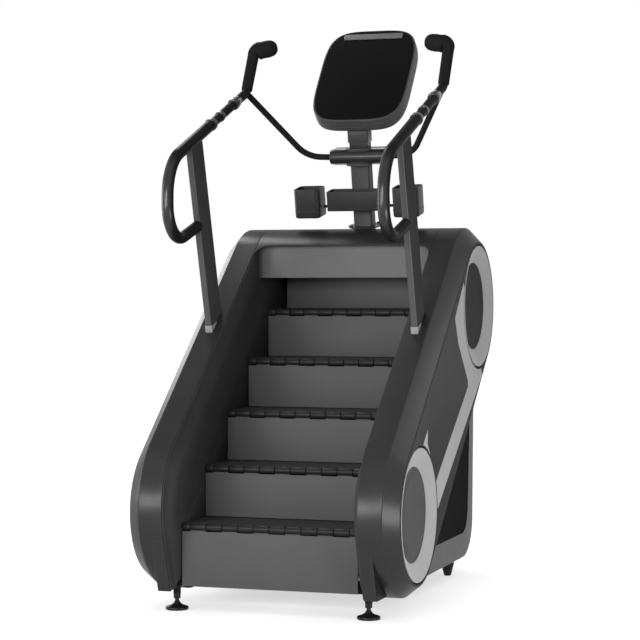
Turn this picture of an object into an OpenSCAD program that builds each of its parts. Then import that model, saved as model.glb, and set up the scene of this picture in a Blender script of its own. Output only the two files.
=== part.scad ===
// Stair climber: a flight of hinged steps between two drum-ended side covers,
// with leaning posts, looped handlebars, a console mast and levelling feet.
// X is the width, +Y points away from the user, +Z is up, the floor is at Z = 0.

/* [Steps] */
// width of every step
step_w = 694; // [560:1:820]
// horizontal distance from one nose to the next
step_run = 245; // [215:1:290]
// height from one nose to the next
step_rise = 200; // [170:1:240]
// diameter of the hinge barrel at a nose
barrel_d = 27; // [22:0.5:34]
// hinge segments along one nose, an odd number
knuckles = 11; // [7:2:15]
// diameter of the hinge pin inside the barrel
pin_d = 8; // [6:0.5:10]
// thickness of a tread
tread_t = 20; // [16:1:22]
// thickness of a riser
riser_t = 9; // [6:0.5:12]
// height of the first nose barrel above the floor
first_nose_z = 305; // [260:1:360]
// extra length of the lowest riser
first_riser_drop = 40; // [20:1:60]
// how much flatter than the slope the top tread lies under the hood
top_tread_rest = 4.2; // [0:0.1:8]

/* [Side covers] */
// gap between the steps and the inner walls
wall_gap = 30; // [24:1:40]
// thickness of the inner skirt walls
skirt_t = 4; // [3:0.5:6]
// width of the flat rim of a side cover
rim_w = 93; // [70:1:120]
// depth of the chamfer from the rim to the outer face
chamfer_x = 57; // [40:1:75]
// radius of the round rim ends
rim_r = 323.5; // [300:0.5:350]
// radius of the outer face ends
face_r = 267; // [262:0.5:290]
// wall thickness of the covers
cover_t = 5; // [3:0.5:7]
// height of the lower drum axis above the floor
drum_z = 372; // [350:1:400]
// distance of the lower drum axis behind the first nose
drum_y = 192; // [170:1:220]
// length between the drum axes, counted in steps
drum_steps = 3.87; // [3.5:0.01:4.2]
// outer radius of the pale rings
ring_r = 252; // [230:1:258]
// radius of the dark centre caps
cap_r = 180; // [140:1:200]
// depth of the ring dish
dish_d = 18.7; // [10:0.1:24]
// gap round the rings
ring_gap = 6; // [3:0.5:9]
// thickness of the inlay strips
inlay_t = 3; // [2:0.5:4]
// width of the long inlay band
inlay_w = 105; // [80:1:120]

/* [Base] */
// half width of the base cover
base_x = 431; // [400:1:470]
// height of the underside above the floor
base_z = 72; // [60:1:90]
// size of the frame tubes across
tube_w = 40; // [30:1:50]
// height of the frame tubes
tube_h = 45; // [35:1:55]
// thickness of the side frame plates
plate_t = 6; // [5:0.5:10]
// pad diameter of the front feet
foot_pad_d = 88; // [60:1:110]
// stem diameter of the front feet
foot_stem_d = 16; // [12:1:20]
// top diameter of the rear rubber feet
rear_foot_d = 55; // [45:1:70]

/* [Hand rails] */
// distance of the posts and handlebars from the centre plane
post_x = 428; // [400:1:450]
// width of a post
post_w = 26; // [20:1:34]
// depth of a post
post_d = 128; // [90:1:140]
// lean of the posts towards the user
post_lean = 17; // [10:0.5:24]
// outer diameter of the handlebar tube
bar_d = 44; // [38:0.1:53]
// slope of the grip part of a handlebar
grip_slope = 21.8; // [15:0.1:30]
// diameter of the cross tubes
cross_d = 26; // [20:1:32]

/* [Console] */
// width of the console mast
mast_w = 82; // [62:1:100]
// depth of the console mast
mast_d = 62; // [54:1:78]
// lean of the mast towards the user
mast_lean = 12; // [6:0.1:18]
// width of the console
console_w = 404; // [340:1:480]
// height of the console along its face
console_h = 532; // [440:1:600]
// depth of the console case
console_t = 76; // [56:1:90]
// backward tilt of the console
console_tilt = 39; // [30:0.5:50]
// corner radius of the console
console_r = 122; // [70:1:140]
// width of a cup holder
cup_w = 114; // [95:1:130]
// height of a cup holder
cup_h = 125; // [100:1:140]
// width of the tray
tray_w = 258; // [200:1:300]
// depth of the tray and the cup holders
tray_d = 88; // [75:1:105]
// height of the tray
tray_h = 84; // [60:1:95]

/* [Drive] */
// pitch radius of the chain sprockets
sprocket_r = 70; // [60:1:80]
// thickness of the chain band
chain_t = 10; // [8:0.5:12]
// diameter of the upper and lower shafts
shaft_d = 30; // [24:1:36]
// radius of the large drive pulley
pulley_r = 72; // [60:1:74]
// radius of the small pulley on the brake
small_pulley_r = 24; // [20:1:32]

/* [Hidden] */
$fn = 96;
gap = 0.3;
eps = 0.01;
slope = atan2(step_rise, step_run);
last_step = 6;
inner_x = step_w / 2 + wall_gap;
rim_x0 = inner_x + skirt_t;
rim_x1 = rim_x0 + rim_w;
side_x = rim_x1 + chamfer_x;
low = [drum_y, drum_z];
up = low + drum_steps * [step_run, step_rise];
rim_low = low + [8, 13];
rim_up = up + [-3, 1.5];
drum_len = norm(up - low);
y_front = rim_low[0] - rim_r;
y_rear = rim_up[0] + rim_r;
y_mid = (y_front + y_rear) / 2;
barrel_r = barrel_d / 2;
knuckle_w = step_w / knuckles;
knuckle_gap = 0.5;
hinge_room = 2;
tread_len = step_run + 14;
tread_drop = barrel_r - tread_t;
riser_h = step_rise - barrel_r - hinge_room;
shoe_r = 11;
shoe_w = 16;
shoe_gap = 5;
rail_top = nose_n() - shoe_r - gap;
rail_low = -60;
rail_t = 6;
rail_s0 = -275;
rail_s1 = (nose(last_step) - low) * [cos(slope), sin(slope)] + 20;
rail_seat = 0.05;
bracket_x = step_w / 2 - 51;
bracket_t = 8;
chain_n = -104;
chain_x = step_w / 2 - 57;
chain_w = 20;
axle_n = chain_n - sprocket_r;
axle_low = along(-105, axle_n);
axle_up = along(drum_len + 28, axle_n);
frame_x = rim_x0 + 3;
bearing_r = 40;
bolt_ring_r = 50;
bolt_d = 13;
bolt_h = 6;
bolt_out = 46.5;
tie_y = [drum_y - 95, up[0] - 430, up[0] + 64];
tube_t = 3;
rear_in = 18;
rear_r = 165;
rail_z0 = base_z + 8;
rail_z1 = rail_z0 + tube_h;
wedge_z = rail_z1 + 80;
apron_y = up[0] - 157;
apron_z0 = up[1] + 118;
apron_z1 = up[1] + 254;
apron_r = 60;
apron_t = 4;
apron_end = 10;
hood_t = 5;
hook_n = 224;
post_s = 643;
post_round = 6;
post_wall = 3;
collar_h = 29;
post_foot = rim_point(post_s);
brake_c = [axle_up[0] - 28, 560];
brake_w = 84;
brake_r = 104;
belt_x = inner_x - 47;
brake_x = belt_x - 102;
belt_w = 16;
belt_t = 5;
mast_foot = [up[0] + 80, rim_up[1] + rim_r + 9];
mast_len = 470;
mast_wall = 4;
mast_round = 8;
flange_r = 72;
flange_t = 5;
neck_up = 102;
neck_wall = 4.5;
mast_dir = [-sin(mast_lean), cos(mast_lean)];
clamp_up = 307;
clamp_in = 8;
loop_front = -224;
loop_low = -413;
loop_end = [139, -302];
loop_r1 = 185;
loop_r2 = 125;
bend_lap = 0.8;
bend_swell = 0.2;
loop_inset = 0.05;
horn_len = 78;
clamp_r = 34;
clamp_half = 127;
cross_reach = 108;
cross_rise = 4;
clamp_t = 5;
clamp_plate_w = 196;
clamp_plate_t = 4;
clamp_lap = 14;
tray_up = 87;
cup_gap = 27;
cup_over = 12;
holder_floor = 4;
tray_wall = 4;
cup_wall = 3.5;
console_c = mast_foot + [16, 660];
glass_t = 4;
bar_w = 264;
bar_h = 28;
bar_t = 7;
dark = [0.17, 0.17, 0.18];
mid = [0.25, 0.25, 0.26];
pale = [0.64, 0.64, 0.65];
black = [0.09, 0.09, 0.1];
steel = [0.55, 0.56, 0.58];
riser_grey = [0.36, 0.36, 0.37];

function along(s, n) = low + s * [cos(slope), sin(slope)] + n * [-sin(slope), cos(slope)];
function rim_angle() = atan2(rim_up[1] - rim_low[1], rim_up[0] - rim_low[0]);
function rim_point(s) = rim_low + s * [cos(rim_angle()), sin(rim_angle())]
    + rim_r * [-sin(rim_angle()), cos(rim_angle())];
function nose(k) = [(k - 1) * step_run + barrel_r, first_nose_z + barrel_r + (k - 1) * step_rise];
function nose_n() = (nose(1) - low) * [-sin(slope), cos(slope)];
function post_at(y, z) = post_foot + y * [cos(post_lean), sin(post_lean)]
    + z * [-sin(post_lean), cos(post_lean)];
function unit(v) = v / norm(v);
function heading(a, b) = atan2(b[1] - a[1], b[0] - a[0]);
function turn(p, i) = let (t = heading(p[i], p[i + 1]) - heading(p[i - 1], p[i]))
    t > 180 ? t - 360 : t < -180 ? t + 360 : t;
function trim(p, r, i) = i == 0 || i == len(p) - 1 ? 0 : r[i] * tan(abs(turn(p, i)) / 2);

module place() {
    translate([0, -y_mid, 0]) children();
}

module both() {
    children();
    mirror([1, 0, 0]) children();
}

// a profile drawn in the side view, from x to x + w
module side(x, w) {
    translate([x, 0, 0]) rotate([90, 0, 90]) linear_extrude(height = w) children();
}

module rod(a, b, r) {
    v = b - a;
    translate(a) rotate([0, acos(v[2] / norm(v)), atan2(v[1], v[0])]) cylinder(h = norm(v), r = r);
}

module loop_2d(a, ra, b, rb) {
    t = heading(a, b);
    c = 90 + asin((rb - ra) / norm(b - a));
    translate(a) circle(r = ra);
    translate(b) circle(r = rb);
    polygon([
        a + (ra - loop_inset) * [cos(t + c), sin(t + c)],
        a + (ra - loop_inset) * [cos(t - c), sin(t - c)],
        b + (rb - loop_inset) * [cos(t - c), sin(t - c)],
        b + (rb - loop_inset) * [cos(t + c), sin(t + c)]
    ]);
}

module rim_2d(inset) {
    loop_2d(rim_low, rim_r - inset, rim_up, rim_r - inset);
}

module round_rect(w, h, r) {
    square([w - 2 * r, h], center = true);
    square([w, h - 2 * r], center = true);
    for (i = [-1, 1], j = [-1, 1])
        translate([i * (w / 2 - r), j * (h / 2 - r)]) circle(r = r);
}

// a round tube along points of the side view with rounded corners
module bent_tube(p, r, tube_r) {
    for (i = [0 : len(p) - 2]) {
        d = unit(p[i + 1] - p[i]);
        a = p[i] + d * trim(p, r, i);
        b = p[i + 1] - d * trim(p, r, i + 1);
        rod([a[0], a[1], 0], [b[0], b[1], 0], tube_r);
    }
    for (i = [1 : len(p) - 2]) {
        t = turn(p, i);
        h0 = heading(p[i - 1], p[i]);
        start = p[i] - trim(p, r, i) * unit(p[i] - p[i - 1]);
        c = start + r[i] * [cos(h0 + sign(t) * 90), sin(h0 + sign(t) * 90)];
        first = t > 0 ? h0 - 90 : h0 + 90 + t;
        translate([c[0], c[1], 0]) rotate([0, 0, first - bend_lap])
            rotate_extrude(angle = abs(t) + 2 * bend_lap)
                translate([r[i], 0]) circle(r = tube_r + bend_swell);
    }
}

// an upright box in the side view, leaning towards the user about its front foot
module leaning(p, lean) {
    translate([0, p[0], p[1]]) rotate([lean, 0, 0]) children();
}

module post_space(play) {
    leaning(post_foot, post_lean)
        translate([post_x - post_w / 2 - play, -play, -play])
            cube([post_w + 2 * play, post_d + 2 * play, 300]);
}

module wedge_2d(play) {
    polygon([
        [y_front + 53, wedge_z + play],
        [y_front + 78, base_z + 62],
        [y_front + 107, base_z],
        [drum_y + 110, base_z],
        [drum_y + 110, rail_z1 + 8 + play],
        [y_front + 170 + play, rail_z1 + 8 + play],
        [y_front + 150 + play, wedge_z + play]
    ]);
}

module base_2d(inset) {
    r = rear_r - inset;
    translate([y_rear - rear_in - rear_r, base_z + rear_r]) circle(r = r);
    polygon([
        [drum_y, base_z + inset],
        [y_rear - rear_in - rear_r, base_z + inset],
        [y_rear - rear_in - inset, base_z + rear_r],
        [y_rear - inset, rim_up[1] - 330],
        [y_rear - inset, rim_up[1]],
        [rim_up[0], rim_up[1]],
        [rim_low[0], rim_low[1]]
    ]);
}

module base_frame() color(black) place() {
    difference() {
        union() {
            both() translate([frame_x, y_front + 126, rail_z0])
                cube([tube_w, y_rear - y_front - 296, tube_h]);
            for (y = tie_y)
                translate([-frame_x - eps, y, rail_z0]) cube([2 * frame_x + 2 * eps, tube_w, tube_h]);
            both() translate([frame_x - 4, y_front + 154, base_z - 12])
                cylinder(h = rail_z1 - base_z, d = 29);
        }
        both() translate([frame_x - 4, y_front + 154, base_z - 20])
            cylinder(h = rail_z1 - base_z, d = foot_stem_d + 2 * gap);
        both() translate([frame_x + tube_t, y_front + 180, rail_z0 + tube_t])
            cube([tube_w - 2 * tube_t, y_rear - y_front - 380, tube_h - 2 * tube_t]);
        for (y = tie_y)
            translate([-frame_x + tube_t, y + tube_t, rail_z0 + tube_t])
                cube([2 * frame_x - 2 * tube_t, tube_w - 2 * tube_t, tube_h - 2 * tube_t]);
    }
}

module side_frame(flip) color(black) place() mirror([flip, 0, 0]) {
    difference() {
        side(frame_x, plate_t) {
            polygon([along(-150, -150), along(drum_len + 90, -150), along(drum_len + 90, 150),
                along(drum_len - 60, 150), along(drum_len - 60, rail_low), along(-100, rail_low)]);
            polygon([along(post_s - 80, rail_low - 1), along(post_s + 220, rail_low - 1),
                post_at(post_d - 10, -6), post_at(post_d - 10, 20), post_at(post_d - 46, 20),
                post_at(post_d - 46, -12)]);
            polygon([axle_low + [-60, 60], [axle_low[0] - 60, rail_z1], [axle_low[0] + 60, rail_z1],
                axle_low + [60, 100]]);
            polygon([axle_up + [-90, 40], [axle_up[0] - 90, rail_z1], [axle_up[0] - 10, rail_z1],
                axle_up + [-10, 40]]);
            translate(axle_low) circle(r = 70);
            translate(axle_up) circle(r = 70);
        }
        for (c = [axle_low, axle_up])
            side(frame_x - 1, plate_t + 2) translate(c) circle(r = bearing_r + gap);
        side(frame_x - 1, plate_t + 2) translate([y_front, 0]) square([y_rear - y_front, rail_z1]);
    }
    side(frame_x + plate_t - eps, post_x - post_w / 2 - frame_x - plate_t - gap)
        translate(post_at(post_d - 28, 6)) circle(r = 13);
}

module side_frame_left() side_frame(1);
module side_frame_right() side_frame(0);

module bearings() color(steel) place() both()
    for (c = [axle_low, axle_up])
        difference() {
            side(frame_x - 2, plate_t + 8) translate(c) circle(r = bearing_r);
            side(frame_x - 7, plate_t + 14) translate(c) circle(d = shaft_d + 2 * gap);
        }

// an L section drawn out along the slope, its ledge under the step shoes
module guide_rails() color(dark) place() both() {
    p = along(rail_s0, 0);
    ledge_x = step_w / 2 + shoe_gap;
    wall_x = inner_x - rail_seat;
    translate([0, p[0], p[1]]) rotate([slope - 90, 0, 0]) linear_extrude(height = rail_s1 - rail_s0)
        polygon([[ledge_x, -rail_top], [wall_x, -rail_top], [wall_x, -rail_low],
            [wall_x - rail_t, -rail_low], [wall_x - rail_t, rail_t - rail_top],
            [ledge_x, rail_t - rail_top]]);
}

module inner_skirt(flip) color(dark) place() mirror([flip, 0, 0])
    difference() {
        side(inner_x, skirt_t) {
            difference() {
                rim_2d(hood_t + 1);
                translate([y_front - 9, base_z - 50]) square([y_rear - y_front + 9, 54]);
            }
            wedge_2d(-1);
        }
        for (c = [axle_low, axle_up])
            side(inner_x - 1, skirt_t + 2) translate(c) circle(r = shaft_d / 2 + 4);
        for (y = tie_y)
            translate([inner_x - 1, y - 2, rail_z0 - 60]) cube([skirt_t + 2, tube_w + 4, tube_h + 62]);
        translate([inner_x - 1, y_front + 136, rail_z0 - 60]) cube([skirt_t + 2, 36, tube_h + 62]);
    }

module inner_skirt_left() inner_skirt(1);
module inner_skirt_right() inner_skirt(0);

module side_cover(flip) color(mid) place() mirror([flip, 0, 0])
    difference() {
        union() {
            side(rim_x0, rim_w) rim_2d(0);
            hull() {
                side(rim_x1 - 1, 1) rim_2d(gap);
                side(side_x - 1, 1) loop_2d(low, face_r, up, face_r);
            }
        }
        side(rim_x0 - 1, rim_w + 1 - 3) rim_2d(cover_t);
        hull() {
            side(rim_x1 - 5, 2) rim_2d(cover_t + gap);
            side(side_x - 24, 1) loop_2d(low, face_r - 6, up, face_r - 6);
        }
        side(side_x - 25, 25 - inlay_t - 4) difference() {
            loop_2d(low, face_r - 8, up, face_r - 8);
            for (c = [low, up]) translate(c) circle(r = ring_r + ring_gap + 4);
        }
        for (c = [low, up])
            side(side_x - dish_d - 3, dish_d + 4) translate(c) circle(r = ring_r + ring_gap);
        side(rim_x0 - 1, base_x - rim_x0 + 1 + gap) wedge_2d(gap);
        translate([rim_x0 - 1, y_front, base_z - 50])
            cube([base_x - rim_x0 + 1 + gap, y_rear - y_front, rail_z1 + 8 - base_z + 50 + gap]);
        side(side_x - inlay_t, inlay_t + 1) inlay_2d(gap);
        translate([rim_x0 - 1, axle_up[0] - 92, rail_z1])
            cube([frame_x + plate_t - rim_x0 + 2, 84, axle_up[1] - rail_z1]);
        post_space(4);
    }

module side_cover_left() side_cover(1);
module side_cover_right() side_cover(0);

function inlay_n(s) = -ring_r + 102 - 0.1 * s;

// outline of the pale band on the outer face, its hook round the upper ring and the sliver by the lower one
module inlay_2d(play) {
    difference() {
        polygon([
            along(150, inlay_n(150) - play),
            along(drum_len - 139, inlay_n(drum_len - 139) - play),
            along(drum_len - 139, 0),
            along(drum_len - 149 + play, hook_n + 22 + play),
            along(drum_len - 347 - play, hook_n + play),
            along(drum_len - 369 - play, hook_n / 2),
            along(drum_len - 344 - play, -hook_n / 2),
            along(drum_len - 357 - play, inlay_n(drum_len - 357) + inlay_w + play),
            along(150, inlay_n(150) + inlay_w + play)
        ]);
        for (c = [low, up])
            translate(c) circle(r = ring_r + ring_gap + 6 - play);
    }
    difference() {
        polygon([
            along(200 - play, 168 + play),
            along(288 + play, 168 + play),
            along(252 + play, 130),
            along(254 + play, 66 - play),
            along(200 - play, 66 - play)
        ]);
        translate(low) circle(r = ring_r + ring_gap + 6 - play);
    }
}

module side_inlays() color(pale) place() both()
    side(side_x - inlay_t + gap, inlay_t - gap) inlay_2d(0);

module disc_rings() color(pale) place() both()
    for (c = [low, up])
        translate([side_x - dish_d - 3 + gap, c[0], c[1]]) rotate([0, 90, 0])
            rotate_extrude() polygon([
                [cap_r + gap, 0], [ring_r, 0], [ring_r, dish_d + 2.5], [ring_r - 3, dish_d + 2.5],
                [cap_r + gap, 3]
            ]);

module disc_caps() color(mid) place() both()
    for (c = [low, up])
        translate([side_x - dish_d - 3 + gap, c[0], c[1]]) rotate([0, 90, 0]) cylinder(h = 4, r = cap_r);

module hood() color(mid) place() {
    difference() {
        side(-rim_x0 + gap, 2 * rim_x0 - 2 * gap)
            difference() {
                rim_2d(0);
                rim_2d(hood_t);
                polygon([rim_up + [0, -3 * rim_r], rim_up + [rim_r + 1, -3 * rim_r], rim_up + [rim_r + 1, 0],
                    rim_up, rim_point(-2 * rim_r), rim_point(-2 * rim_r) + [0, -2 * rim_r]]);
                polygon([rim_point(-2 * rim_r) + [-rim_r, 0], rim_point(hood_s() - 70) + [-rim_r, rim_r],
                    rim_point(hood_s() - 70), rim_up, rim_low, rim_low + [-rim_r, -rim_r]]);
            }
        hood_cut();
        leaning(mast_foot, mast_lean) translate([-mast_w / 2 - 1, -1, -80])
            cube([mast_w + 2, mast_d + 2, 160]);
    }
}

function hood_s() = norm(rim_up - rim_low);

// opening in front of the hood with rounded upper corners
module hood_cut() {
    p = rim_point(hood_s());
    translate([0, p[0], p[1]]) rotate([rim_angle(), 0, 0])
        translate([0, 0, -60]) linear_extrude(height = 120) {
            translate([-inner_x, -300]) square([2 * inner_x, 300 - apron_r]);
            translate([-inner_x + apron_r, -300]) square([2 * inner_x - 2 * apron_r, 300]);
            for (i = [-1, 1]) translate([i * (inner_x - apron_r), -apron_r]) circle(r = apron_r);
        }
}

module apron() color(riser_grey) place()
    intersection() {
        translate([0, apron_y, apron_z0]) linear_extrude(height = apron_z1 - apron_z0)
            difference() {
                apron_2d(inner_x - gap, apron_r + apron_t, apron_t);
                apron_2d(inner_x - gap - apron_t, apron_r, 0);
            }
        side(-rim_x1, 2 * rim_x1) rim_2d(hood_t + gap);
    }

// plan of a wall that turns forward at both ends
module apron_2d(x, r, y) {
    y0 = -apron_r - apron_end - (apron_t - y);
    translate([-x, y0]) square([2 * x, y - r - y0]);
    translate([-x + r, y0]) square([2 * x - 2 * r, y - y0]);
    for (i = [-1, 1]) translate([i * (x - r), y - r]) circle(r = r);
}

module base_cover() color(mid) place() {
    difference() {
        side(-base_x, 2 * base_x) base_2d(0);
        side(-base_x + cover_t, 2 * base_x - 2 * cover_t) base_2d(cover_t);
        both() side(rim_x0 - gap, base_x) rim_2d(-gap);
        side(-rim_x0 - 1, 2 * rim_x0 + 2) base_2d(cover_t);
        side(-base_x - 1, 2 * base_x + 2)
            translate([y_front, rim_up[1] - gap]) square([y_rear - y_front + 1, rim_r]);
        both() side(base_x - 3, 4) panel_2d(gap);
        translate([-frame_x - tube_w - 2, drum_y - 300, base_z - 1])
            cube([2 * (frame_x + tube_w + 2), up[0] - drum_y + 425, cover_t + 2]);
    }
    both() difference() {
        side(rim_x0 + gap, base_x - rim_x0 - gap) union() {
            wedge_2d(0);
            translate([drum_y + 109, base_z]) square([141, rail_z1 + 8 - base_z]);
        }
        translate([rim_x0 - 1, y_front + 120, base_z - 1])
            cube([base_x - rim_x0 + 1 - cover_t, drum_y + 800, rail_z1 + 2 - base_z]);
        translate([rim_x0 - 1, y_front + 150, base_z - 1])
            cube([base_x - rim_x0 + 1 - cover_t, drum_y + 800, wedge_z]);
    }
}

// triangular recess between the drum, the rear edge and the foot of the base
module panel_2d(play) {
    difference() {
        polygon([[drum_y + 330, base_z + 106 - play], [y_rear - 190, base_z + 106 - play],
            [y_rear - 150 + play, base_z + 170], [y_rear - 100 + play, rim_up[1] - 330],
            [rim_up[0] - 40, rim_up[1] - 330], [rim_low[0] + 100, rim_low[1]]]);
        rim_2d(-12 + play);
    }
}

module rear_panels() color(dark) place() both()
    side(base_x - 3 + gap, 2) panel_2d(0);

module post(flip) color(dark) place() mirror([flip, 0, 0])
    difference() {
        leaning(post_foot, post_lean)
            translate([post_x, post_d / 2, 0]) linear_extrude(height = 900) difference() {
                round_rect(post_w, post_d, post_round);
                round_rect(post_w - 2 * post_wall, post_d - 2 * post_wall, post_round - post_wall);
            }
        side(post_x - post_w, 2 * post_w) {
            g = grip_a();
            polygon([g + grip_at(-400, -bar_d / 2 - gap), g + grip_at(900, -bar_d / 2 - gap),
                g + grip_at(900, 900), g + grip_at(-400, 900)]);
        }
    }

module post_left() post(1);
module post_right() post(0);

module post_collars() color(pale) place() both()
    difference() {
        leaning(post_foot, post_lean) translate([post_x, 28, 0])
            linear_extrude(height = collar_h) round_rect(post_w + 4, 60, 3);
        leaning(post_foot, post_lean)
            translate([post_x - post_w / 2 - gap, -gap, -1])
                cube([post_w + 2 * gap, post_d + 1, collar_h + 11]);
    }

// point on the grip line where the handlebar passes over the front of the post
function grip_a() = post_foot + [-211, 740];
function grip_at(s, n) = s * [cos(grip_slope), sin(grip_slope)] + n * [-sin(grip_slope), cos(grip_slope)];
function junction() = grip_a() + grip_at(700, 0);
function horn_top() = junction() + [98, 184];

function bar_path() = [
    junction() + grip_at(-60, 0),
    grip_a() + loop_front * [1, tan(grip_slope)],
    grip_a() + [loop_front, loop_low],
    grip_a() + loop_end
];

module handlebar(flip) color(black) place() mirror([flip, 0, 0])
    difference() {
        translate([post_x, 0, 0]) rotate([90, 0, 90])
            bent_tube(bar_path(), [0, loop_r1, loop_r2, 0], bar_d / 2);
        leaning(post_foot, post_lean) translate([post_x - 2 * post_w, -gap, 0])
            cube([4 * post_w, 2 * post_d, 640]);
    }

module handlebar_left() handlebar(1);
module handlebar_right() handlebar(0);

module pulse_grips() color(steel) place() both()
    translate([post_x, 0, 0]) rotate([90, 0, 90])
        for (s = [250, 362, 548]) {
            a = grip_a() + grip_at(s - 6, 0);
            b = grip_a() + grip_at(s + 6, 0);
            over = [9, 9 * tan(grip_slope), 0];
            difference() {
                rod([a[0], a[1], 0], [b[0], b[1], 0], bar_d / 2 + 4);
                rod([a[0], a[1], 0] - over, [b[0], b[1], 0] + over, bar_d / 2 + gap / 2);
            }
        }

// a rod with round ends, from the origin along +Z
module capsule(len, r) {
    rotate_extrude() intersection() {
        union() {
            circle(r = r);
            translate([0, len]) circle(r = r);
            translate([-r, 0]) square([2 * r, len]);
        }
        translate([0, -r]) square([r, len + 2 * r]);
    }
}

module horn(flip) color(black) place() mirror([flip, 0, 0]) {
    j = junction() + grip_at(-60 + gap, 0);
    k = junction();
    t = horn_top();
    r = bar_d / 2 - 1;
    rod([post_x, j[0], j[1]], [post_x, k[0], k[1]], r);
    translate([post_x, k[0], k[1]]) sphere(r = r + bend_swell);
    rod([post_x, k[0], k[1]], [post_x, t[0], t[1]], r);
    translate([post_x - 7, t[0], t[1]]) rotate([0, -90, 0]) capsule(horn_len, bar_d / 2 + 5);
}

module horn_left() horn(1);
module horn_right() horn(0);

function clamp_c() = mast_foot + clamp_up * mast_dir + clamp_in * [cos(mast_lean), sin(mast_lean)];

module cross_tube(flip) color(black) place() mirror([flip, 0, 0]) {
    c = clamp_c();
    j = junction();
    a = [clamp_half + gap + cross_d / 2 * cross_rise / cross_reach, c[0], c[1]];
    b = [clamp_half + cross_reach, c[0], c[1] + cross_rise];
    e = [post_x, j[0], j[1]];
    difference() {
        union() {
            rod(a, b, cross_d / 2);
            translate(b) rotate([0, 90, 0]) sphere(r = cross_d / 2 + bend_swell);
            rod(b, e, cross_d / 2);
        }
        translate(e) sphere(r = bar_d / 2 - 1 + 2 * gap);
        rod(e, [post_x, horn_top()[0], horn_top()[1]], bar_d / 2 - 1 + gap);
        rod(e, e + [0, 300 * cos(grip_slope + 180), 300 * sin(grip_slope + 180)], bar_d / 2 + gap);
    }
}

module cross_tube_left() cross_tube(1);
module cross_tube_right() cross_tube(0);

module mast_frame() {
    leaning(mast_foot, mast_lean) children();
}

module mast() color(mid) place()
    difference() {
        mast_frame() {
            translate([0, mast_d / 2, -60]) linear_extrude(height = mast_len + 60)
                round_rect(mast_w, mast_d, mast_round);
            translate([0, mast_d / 2, 1]) cylinder(h = flange_t, r = flange_r);
        }
        mast_frame() translate([-mast_w / 2 + mast_wall, mast_wall, -61])
            cube([mast_w - 2 * mast_wall, mast_d - 2 * mast_wall, mast_len + 62]);
        c = clamp_c();
        rod([-clamp_half - 1, c[0], c[1]], [clamp_half + 1, c[0], c[1]], clamp_r + gap);
        console_space();
    }

module console_space() {
    translate([0, console_c[0], console_c[1]]) rotate([90 - console_tilt, 0, 0])
        translate([-console_w, -console_h, -console_t - gap]) cube([2 * console_w, 2 * console_h, 400]);
}

module mast_clamp() color(black) place() {
    c = clamp_c();
    difference() {
        rod([-clamp_half, c[0], c[1]], [clamp_half, c[0], c[1]], clamp_r);
        rod([-clamp_half + clamp_t, c[0], c[1]], [clamp_half - clamp_t, c[0], c[1]], clamp_r - clamp_t);
    }
    for (s = [-1, 1])
        translate([0, c[0], c[1]]) rotate([mast_lean, 0, 0])
            translate([-clamp_plate_w / 2, -clamp_in - clamp_lap, s * (clamp_r + 1) - clamp_plate_t / 2])
                difference() {
                    cube([clamp_plate_w, mast_d + 2 * clamp_lap, clamp_plate_t]);
                    translate([clamp_plate_w / 2 - mast_w / 2 - gap, clamp_lap - gap, -1])
                        cube([mast_w + 2 * gap, mast_d + 2 * gap, clamp_plate_t + 2]);
                }
}

module neck_sleeve() color(mid) place()
    difference() {
        mast_frame() translate([0, mast_d / 2, mast_len - neck_up])
            linear_extrude(height = 200)
                round_rect(mast_w + 2 * neck_wall, mast_d + 2 * neck_wall, mast_round + 1);
        mast_frame() translate([-mast_w / 2 - gap, -gap, mast_len - neck_up - 1])
            cube([mast_w + 2 * gap, mast_d + 2 * gap, 302]);
        console_space();
    }

module on_console(z) {
    translate([0, console_c[0], console_c[1]]) rotate([90 - console_tilt, 0, 0])
        translate([0, 0, z]) children();
}

module console_case() color(mid) place()
    on_console(-console_t) difference() {
        linear_extrude(height = console_t - glass_t) round_rect(console_w, console_h, console_r);
        translate([0, 0, 4]) linear_extrude(height = console_t)
            round_rect(console_w - 20, console_h - 20, console_r - 10);
    }

module console_glass() color(black) place()
    on_console(-glass_t) linear_extrude(height = glass_t)
        round_rect(console_w - 9, console_h - 9, console_r - 4);

module console_bar() color(riser_grey) place()
    on_console(0) translate([0, console_h / 2 - 44, 0])
        linear_extrude(height = bar_t) round_rect(bar_w, bar_h, 4);

module holder_frame() {
    mast_frame() translate([0, -gap - tray_d, tray_up]) children();
}

module tray() color(black) place() holder_frame()
    difference() {
        linear_extrude(height = tray_h) translate([0, tray_d / 2]) round_rect(tray_w, tray_d, 8);
        translate([0, tray_d / 2, holder_floor]) linear_extrude(height = tray_h)
            round_rect(tray_w - 2 * tray_wall, tray_d - 2 * tray_wall, 5);
    }

module cup(flip) color(black) place() mirror([flip, 0, 0]) holder_frame()
    translate([tray_w / 2 + cup_gap + cup_w / 2, cup_w / 2 - 8, tray_h - cup_h + cup_over])
        difference() {
            union() {
                linear_extrude(height = cup_h) round_rect(cup_w, cup_w, 12);
                translate([0, 0, 30]) linear_extrude(height = 4) round_rect(cup_w + 2, cup_w + 2, 13);
            }
            translate([0, 0, holder_floor]) linear_extrude(height = cup_h)
                round_rect(cup_w - 2 * cup_wall, cup_w - 2 * cup_wall, 9);
        }

module cup_left() cup(1);
module cup_right() cup(0);

module holder_rods() color(black) place() both() holder_frame()
    translate([tray_w / 2, tray_d / 2, 16]) rotate([0, 90, 0]) cylinder(h = cup_gap - gap, d = 12);

// pieces of the nose hinge, as spans along the width
module knuckle_row(odd, shrink) {
    for (i = [odd : 2 : knuckles - 1])
        translate([-step_w / 2 + i * knuckle_w + shrink, 0, 0]) rotate([0, 90, 0])
            cylinder(h = knuckle_w - 2 * shrink, r = barrel_r);
}

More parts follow.
